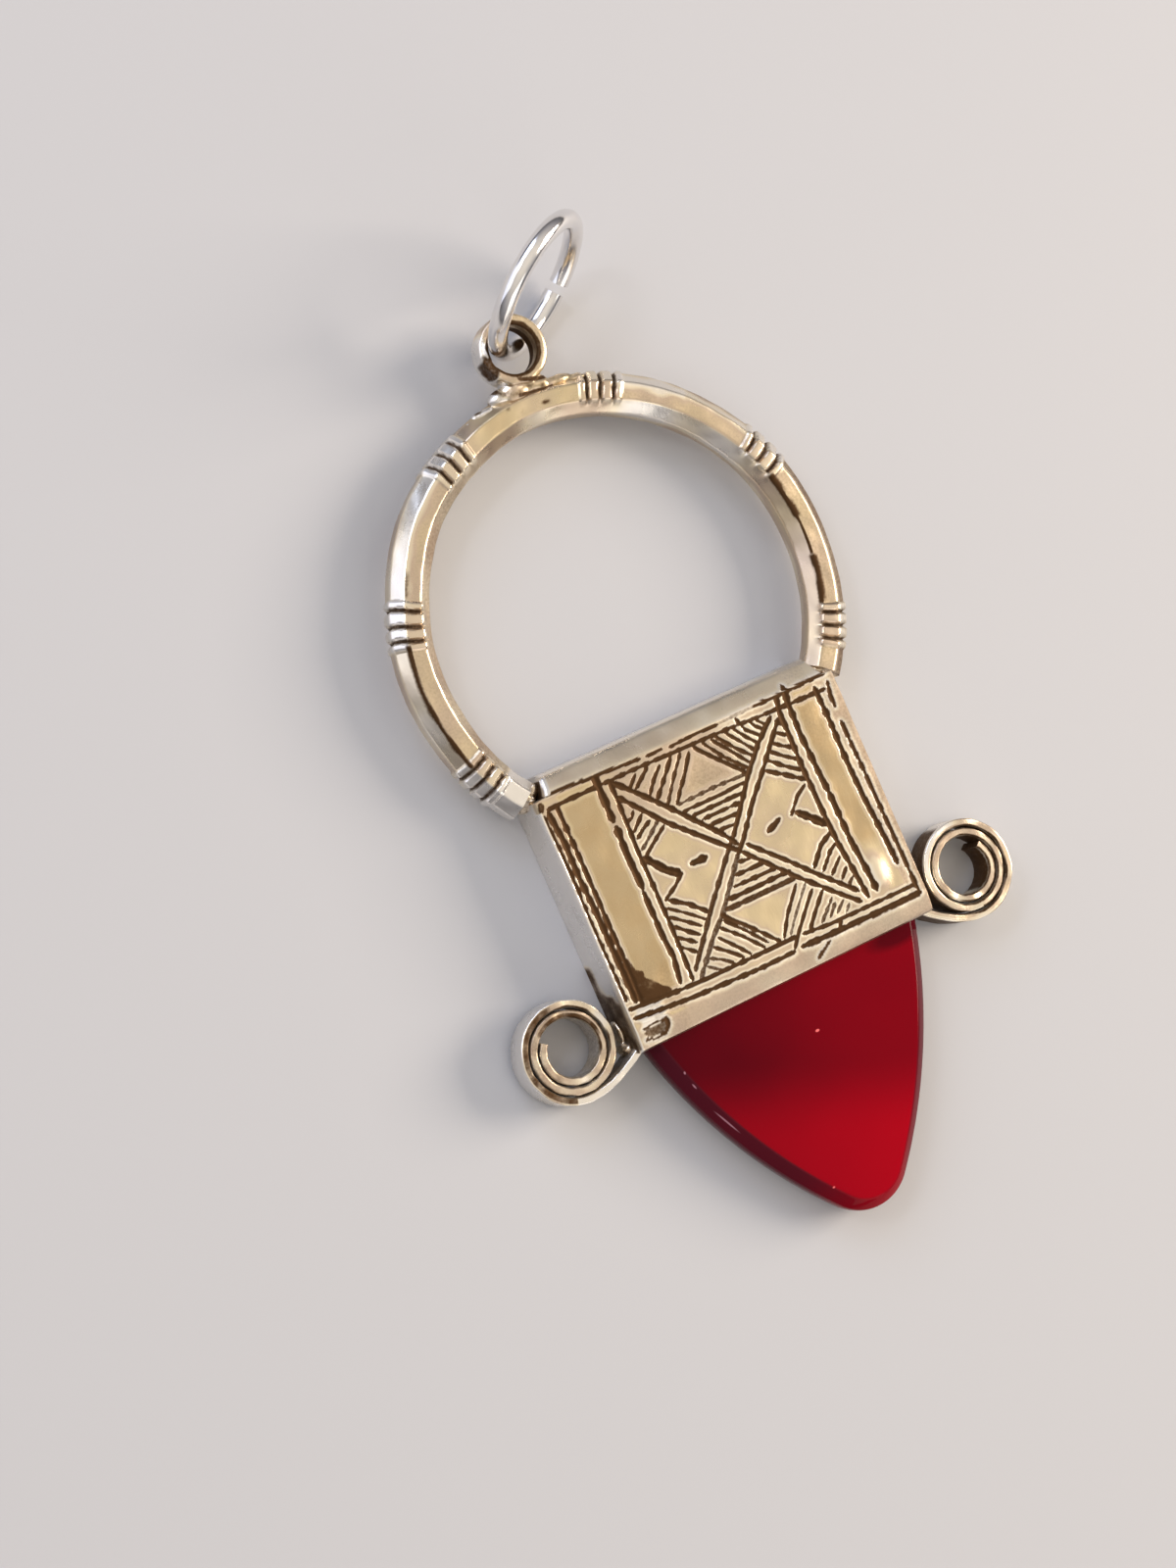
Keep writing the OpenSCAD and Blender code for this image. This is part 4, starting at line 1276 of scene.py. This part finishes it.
class PENDANT_OT_eye(bpy.types.Operator):
    """Models the eye on top of the hoop, with the solder that holds it"""
    bl_idname = "pendant.eye"
    bl_label = "Eye"

    place = (-0.1, 23.2)
    low = 1.25
    high = 2.5
    hole_r = 1.07
    outer_r = 1.56
    # Middle and half size of each lump of solder under the eye and along the hoop
    solder = (
        ((-0.6, 21.5, 1.8), (0.8, 0.55, 0.55)), ((0.3, 21.45, 1.8), (0.75, 0.5, 0.5)),
        ((-0.1, 21.8, 1.85), (0.9, 0.4, 0.5)), ((-1.3, 21.5, 1.75), (0.6, 0.4, 0.45)),
        ((1.2, 21.33, 1.75), (0.9, 0.26, 0.42)), ((2.1, 21.12, 1.75), (0.7, 0.2, 0.32)),
        ((-2.1, 21.1, 1.7), (0.8, 0.24, 0.36)), ((-2.9, 20.93, 1.7), (0.5, 0.16, 0.26)),
    )

    def execute(self, context):
        parts = [self.tube()]
        for place, half in self.solder:
            parts.append(solder_lump(
                bpy.ops.mesh.primitive_uv_sphere_add, place, half, segments=24, ring_count=12))
        eye = melt("eye", parts, voxel=0.042, smoothing=12)
        self.work_solder(eye)
        finish_piece(
            eye, "silver_frame",
            worn_silver("worn_silver_eye", context.scene.pendant_finish, 11.0), smooth=60.0)
        return {"FINISHED"}

    def tube(self):
        """A short tube, spun from its section"""
        x, y = self.place
        round_r = 0.16
        left = x + (self.hole_r + round_r)
        right = x + (self.outer_r - round_r)
        section = []
        for cx, cz, first in (
            (right, self.high - round_r, 0), (left, self.high - round_r, 90),
            (left, self.low + round_r, 180), (right, self.low + round_r, 270)):
            section += [(px, y, pz) for px, pz in round_corner(cx, cz, round_r, first)]
        ring = wire_loop("eye_ring", section)
        spin_loop(ring, 72, math.tau, place=self.place, capped=False)
        return ring

    def pit_distance(self, px, py, pz):
        """Distance from the ragged pit in the left wall, and the bright sliver of metal across it"""
        pit = np.hypot(spot_distance(px, py, (-1.42, 22.74), (0.42, 0.64)), (pz - 2.3) / 0.95)
        pit += 0.1 * ripple(0.5, 103, px, py, pz)
        sliver = ease(0.09, 0.04, np.abs(px + 1.7 + 0.25 * (py - 22.7)))
        sliver *= ease(0.3, 0.2, np.abs(py - 22.75))
        return pit, sliver

    def work_solder(self, eye):
        """Dents the solder and the left wall, and paints what they leave behind"""
        points = points_of(eye)
        normals = np.empty(len(points) * 3)
        eye.data.vertices.foreach_get("normal", normals)
        px, py, pz = points.T
        away = np.hypot(px - self.place[0], py - self.place[1])
        solder = ease(22.1, 21.7, py)
        pit, sliver = self.pit_distance(px, py, pz)
        push = 0.02 * solder * ripple(0.5, 101, px, py, pz) + 0.01 * ripple(0.6, 102, px, py, pz)
        push -= 0.09 * ease(1.0, 0.5, pit)
        push = np.where(away < self.outer_r - 0.2, np.minimum(push, 0.0), push)
        points += normals.reshape(-1, 3) * np.minimum(push, 0.05)[:, None]
        points[:, 2] = np.clip(points[:, 2], 1.0, FRAME_HIGH.z - 0.1)
        points[:, 1] = np.minimum(points[:, 1], FRAME_HIGH.y - 0.01)
        set_points(eye, points)
        self.paint_eye(eye, points, away, solder, pit, sliver)

    def paint_eye(self, eye, points, away, solder, pit, sliver):
        """Leaves oxide in the hole, in the pit and in the seams of the solder"""
        px, py, pz = points.T
        # Dark round the rim of the hole and low down in it, with a lighter band between
        rough = ripple(0.45, 105, px, py, pz)
        wall = ease(self.hole_r + 0.1, self.hole_r + 0.04, away)
        patina = wall * (0.95 - 0.5 * ease(1.85, 2.0, pz) * ease(2.4, 2.25, pz))
        rim = np.abs(away - self.hole_r - 0.08 - 0.02 * rough)
        patina = np.maximum(patina, 0.9 * ease(0.13, 0.07, rim) * ease(2.3, 2.4, pz))
        patina = np.maximum(patina, 0.88 * ease(1.1, 0.75, pit) * (1 - sliver))
        # Brown seams under the eye and along the hoop, and blotches on the solder between
        seam = np.abs(py - 21.76 + 0.27 * px - 0.18 * px ** 2)
        seam = ease(0.14, 0.07, seam) * ease(0.62, 0.5, np.abs(px - 0.2) - 0.15)
        line = ease(0.11, 0.06, np.abs(py - 21.23 + 0.08 * px)) * ease(1.0, 0.8, np.abs(px - 0.2))
        patina = np.maximum(patina, 0.88 * np.maximum(seam, line) * ease(1.5, 1.7, pz))
        patina = np.maximum(patina, solder * (0.42 + 0.24 * rough))
        dark_spot = np.hypot(px + 1.5, py - 21.85)
        patina = np.maximum(patina, 0.85 * ease(0.24, 0.14, dark_spot))
        patina = np.maximum(patina, 0.4 - 0.36 * ease(-1.0, -1.3, px) * (1 - solder))
        white_spot = ease(0.24, 0.14, np.hypot(px + 1.1, py - 21.85))
        patina *= 1 - white_spot
        paint(eye, "patina", np.clip(patina, 0, 1))
        tan = 0.35 + 0.15 * ease(-0.6, 0.8, px) + 0.1 * solder * rough - 0.35 * ease(-1.0, -1.4, px)
        paint(eye, "tarnish", np.clip(tan * (1 - white_spot), 0, 1))


class PENDANT_OT_solder(bpy.types.Operator):
    """Models the lumps of solder where the hoop and the coils meet the box"""
    bl_idname = "pendant.solder"
    bl_label = "Solder"

    # Name, then middle and half size of each lump in millimetres
    lumps = (
        ("solder_hoop_left", (
            ((-7.35, 5.45, 1.3), (0.42, 0.4, 0.75)), ((-7.0, 5.75, 1.5), (0.3, 0.35, 0.5)),
            ((-7.5, 5.2, 1.0), (0.3, 0.3, 0.5)))),
        ("solder_hoop_right", (
            ((7.35, 5.45, 1.3), (0.42, 0.38, 0.75)), ((7.0, 5.7, 1.4), (0.28, 0.32, 0.5)))),
        ("solder_coil_left", (
            ((-7.65, -5.9, 1.0), (0.3, 0.35, 0.6)), ((-7.6, -5.2, 0.9), (0.2, 0.6, 0.5)))),
        ("solder_coil_right", (
            ((7.65, -5.95, 1.0), (0.3, 0.3, 0.6)), ((7.6, -5.3, 0.9), (0.18, 0.5, 0.5)))),
    )

    def execute(self, context):
        material = worn_silver("worn_silver_solder", context.scene.pendant_finish, 17.0)
        for number, (name, blobs) in enumerate(self.lumps):
            parts = [
                solder_lump(bpy.ops.mesh.primitive_ico_sphere_add, place, half, subdivisions=4)
                for place, half in blobs]
            lump = melt(name, parts, voxel=0.05, smoothing=4)
            points = points_of(lump)
            points += 0.03 * ripple(0.5, 110 + number, *points.T)[:, None] * np.array([0.6, 0.6, 1.0])
            points[:, 2] = np.clip(points[:, 2], 0.02, 2.6)
            set_points(lump, points)
            paint(lump, "patina", 0.55 * ease(0.1, 0.8, ripple(0.4, 120 + number, *points.T)))
            paint(lump, "tarnish", np.full(len(points), 0.25))
            finish_piece(lump, "silver_frame", material, smooth=60.0)
        return {"FINISHED"}


class PENDANT_OT_stone(bpy.types.Operator):
    """Models the flat red stone with its bevelled edge and round tip"""
    bl_idname = "pendant.stone"
    bl_label = "Stone"

    side_radius = 24.0
    taper = 14.8
    box_edge = -6.2
    bevel = 0.5

    def execute(self, context):
        rim = self.outline(STONE_HIGH.x)
        # Each ring's distance in from the outline, and its share of the thickness
        levels = (
            (self.bevel * 0.55, 0.0), (self.bevel * 0.3, 0.02), (0.06, 0.17), (0.0, 0.28),
            (0.0, 0.62), (0.04, 0.7), (self.bevel * 0.9, 0.97), (self.bevel, 0.99),
            (self.bevel + 0.08, 1.0), (self.bevel + 0.3, 1.0))
        low = STONE_LOW.z
        thick = STONE_HIGH.z - STONE_LOW.z
        stone = ringed_piece("stone_slab", [
            [(x - nx * inset, y - ny * inset, low + thick * rise) for (x, y), (nx, ny) in rim]
            for inset, rise in levels])
        # Painted shade on the bevel: darkest at the left and almost as red as the face at the tip,
        # with a painted dark line along the outermost edge on the right
        side = np.array([x for (x, _), _ in rim])
        shade = 0.3 + 0.6 * ease(-0.8, -3.5, side) + 0.45 * ease(1.0, 3.5, side)
        edge_shade_line = 0.85 * ease(0.0, 2.5, side)
        paint(stone, "bevel", np.concatenate([
            np.zeros(len(rim)) if inset > self.bevel else
            np.maximum(shade, edge_shade_line * (inset < 0.05)) for inset, _ in levels]))
        outward(stone)
        finish_piece(
            stone, "stone", red_stone("red_stone", context.scene.pendant_finish),
            smooth=25.0)
        return {"FINISHED"}

    def outline(self, half):
        """Points round the slab with the way outwards at each: tang, side arcs and tip. The tip's
        radius is the one that brings its round into line with the side arcs."""
        taper = math.radians(self.taper)
        radius = self.side_radius
        arc_x = half - radius * math.cos(taper)
        arc_y = self.box_edge + radius * math.sin(taper)
        reach = arc_y - STONE_LOW.y
        tip_r = (radius ** 2 - arc_x ** 2 - reach ** 2) / (2 * (radius - reach))
        tip_y = STONE_LOW.y + tip_r
        join = math.atan2(arc_y - tip_y, -arc_x)
        right = []
        top = STONE_HIGH.y
        for t in np.linspace(0, 1, 8, endpoint=False):
            right.append(((half, top + (self.box_edge - top) * t), (1.0, 0.0)))
        for middle_x, middle_y, reach, turns in (
            (arc_x, arc_y, radius, np.linspace(taper, join, 60)),
            (0.0, tip_y, tip_r, np.linspace(join, math.pi / 2, 26)[1:])):
            for a in turns:
                way = (math.cos(a), -math.sin(a))
                right.append(((middle_x + reach * way[0], middle_y + reach * way[1]), way))
        left = [((-x, y), (-nx, ny)) for (x, y), (nx, ny) in right[-2::-1]]
        return right + left


class PENDANT_OT_jump_ring(bpy.types.Operator):
    """Models the open jump ring of round wire, which stands in the eye"""
    bl_idname = "pendant.jump_ring"
    bl_label = "Jump ring"

    # Radii and place in millimetres, and the ring's lean from upright, its turn and its cut in degrees
    wire_r = 0.43
    ring_r = 3.1
    place = (1.66, 25.23)
    lean = 23.2
    turn = 32.1
    cut_from = 297.0
    cut_to = 305.0

    def execute(self, context):
        bpy.ops.object.select_all(action="DESELECT")
        bpy.ops.mesh.primitive_circle_add(
            vertices=28, radius=(self.wire_r - 0.004) * MM, location=(self.ring_r * MM, 0, 0),
            rotation=(math.pi / 2, 0, 0))
        ring = context.object
        ring.name = "open_ring"
        bpy.ops.object.transform_apply(location=True, rotation=True, scale=True)
        spin_loop(ring, 240, math.radians(360 - self.cut_to + self.cut_from))
        turn = (
            Matrix.Rotation(math.radians(self.turn), 4, "Z")
            @ Matrix.Rotation(math.radians(90 - self.lean), 4, "X"))
        rise = self.wire_r + self.ring_r * math.cos(math.radians(self.lean))
        spin = Matrix.Rotation(self.spin_offset(ring), 4, "Z")
        ring.data.transform(turn @ spin)
        ring.data.transform(Matrix.Translation(Vector((*self.place, rise)) * MM))
        finish_piece(
            ring, "jump_ring", drawn_wire("drawn_wire", context.scene.pendant_finish))
        return {"FINISHED"}

    def spin_offset(self, ring):
        """Turn that brings the cut of the spun ring to its place"""
        points = points_of(ring)
        angle = np.degrees(np.arctan2(points[:, 1], points[:, 0])) % 360
        steps = np.sort(np.unique(np.round(angle, 1)))
        gaps = np.diff(np.append(steps, steps[0] + 360))
        widest = int(np.argmax(gaps))
        middle = steps[widest] + gaps[widest] / 2
        return math.radians((self.cut_from + self.cut_to) / 2 - middle)


class PENDANT_PT_panel(bpy.types.Panel):
    """Lists the pieces of the pendant and its sizes"""
    bl_idname = "PENDANT_PT_panel"
    bl_label = "Tuareg Cross Pendant"
    bl_space_type = "VIEW_3D"
    bl_region_type = "UI"
    bl_category = "Pendant"

    def draw(self, context):
        layout = self.layout
        for operator in BUILD_ORDER:
            layout.operator(operator.bl_idname)
        for name, group in SETTINGS.items():
            box = layout.box()
            settings = getattr(context.scene, name)
            for key in group.__annotations__:
                box.prop(settings, key)


SETTINGS = {
    "pendant_box": PendantBoxSizes,
    "pendant_hoop": PendantHoopSizes,
    "pendant_coils": PendantCoilSizes,
    "pendant_finish": PendantFinish,
}
BUILD_ORDER = (
    PENDANT_OT_stage,
    PENDANT_OT_box,
    PENDANT_OT_hoop,
    PENDANT_OT_eye,
    PENDANT_OT_solder,
    PENDANT_OT_coils,
    PENDANT_OT_stone,
    PENDANT_OT_jump_ring,
)
CLASSES = (*SETTINGS.values(), *BUILD_ORDER, PENDANT_PT_panel)


def register():
    """Adds the settings, operators and panel"""
    for item in CLASSES:
        bpy.utils.register_class(item)
    for name, group in SETTINGS.items():
        setattr(bpy.types.Scene, name, bpy.props.PointerProperty(type=group))


def unregister():
    """Takes them out again"""
    for name in SETTINGS:
        delattr(bpy.types.Scene, name)
    for item in reversed(CLASSES):
        bpy.utils.unregister_class(item)


def main():
    """Builds the stage and the pendant"""
    register()
    bpy.ops.pendant.stage()
    bpy.ops.pendant.box()
    bpy.ops.pendant.hoop()
    bpy.ops.pendant.eye()
    bpy.ops.pendant.solder()
    bpy.ops.pendant.coils()
    bpy.ops.pendant.stone()
    bpy.ops.pendant.jump_ring()


if __name__ == "__main__":
    main()
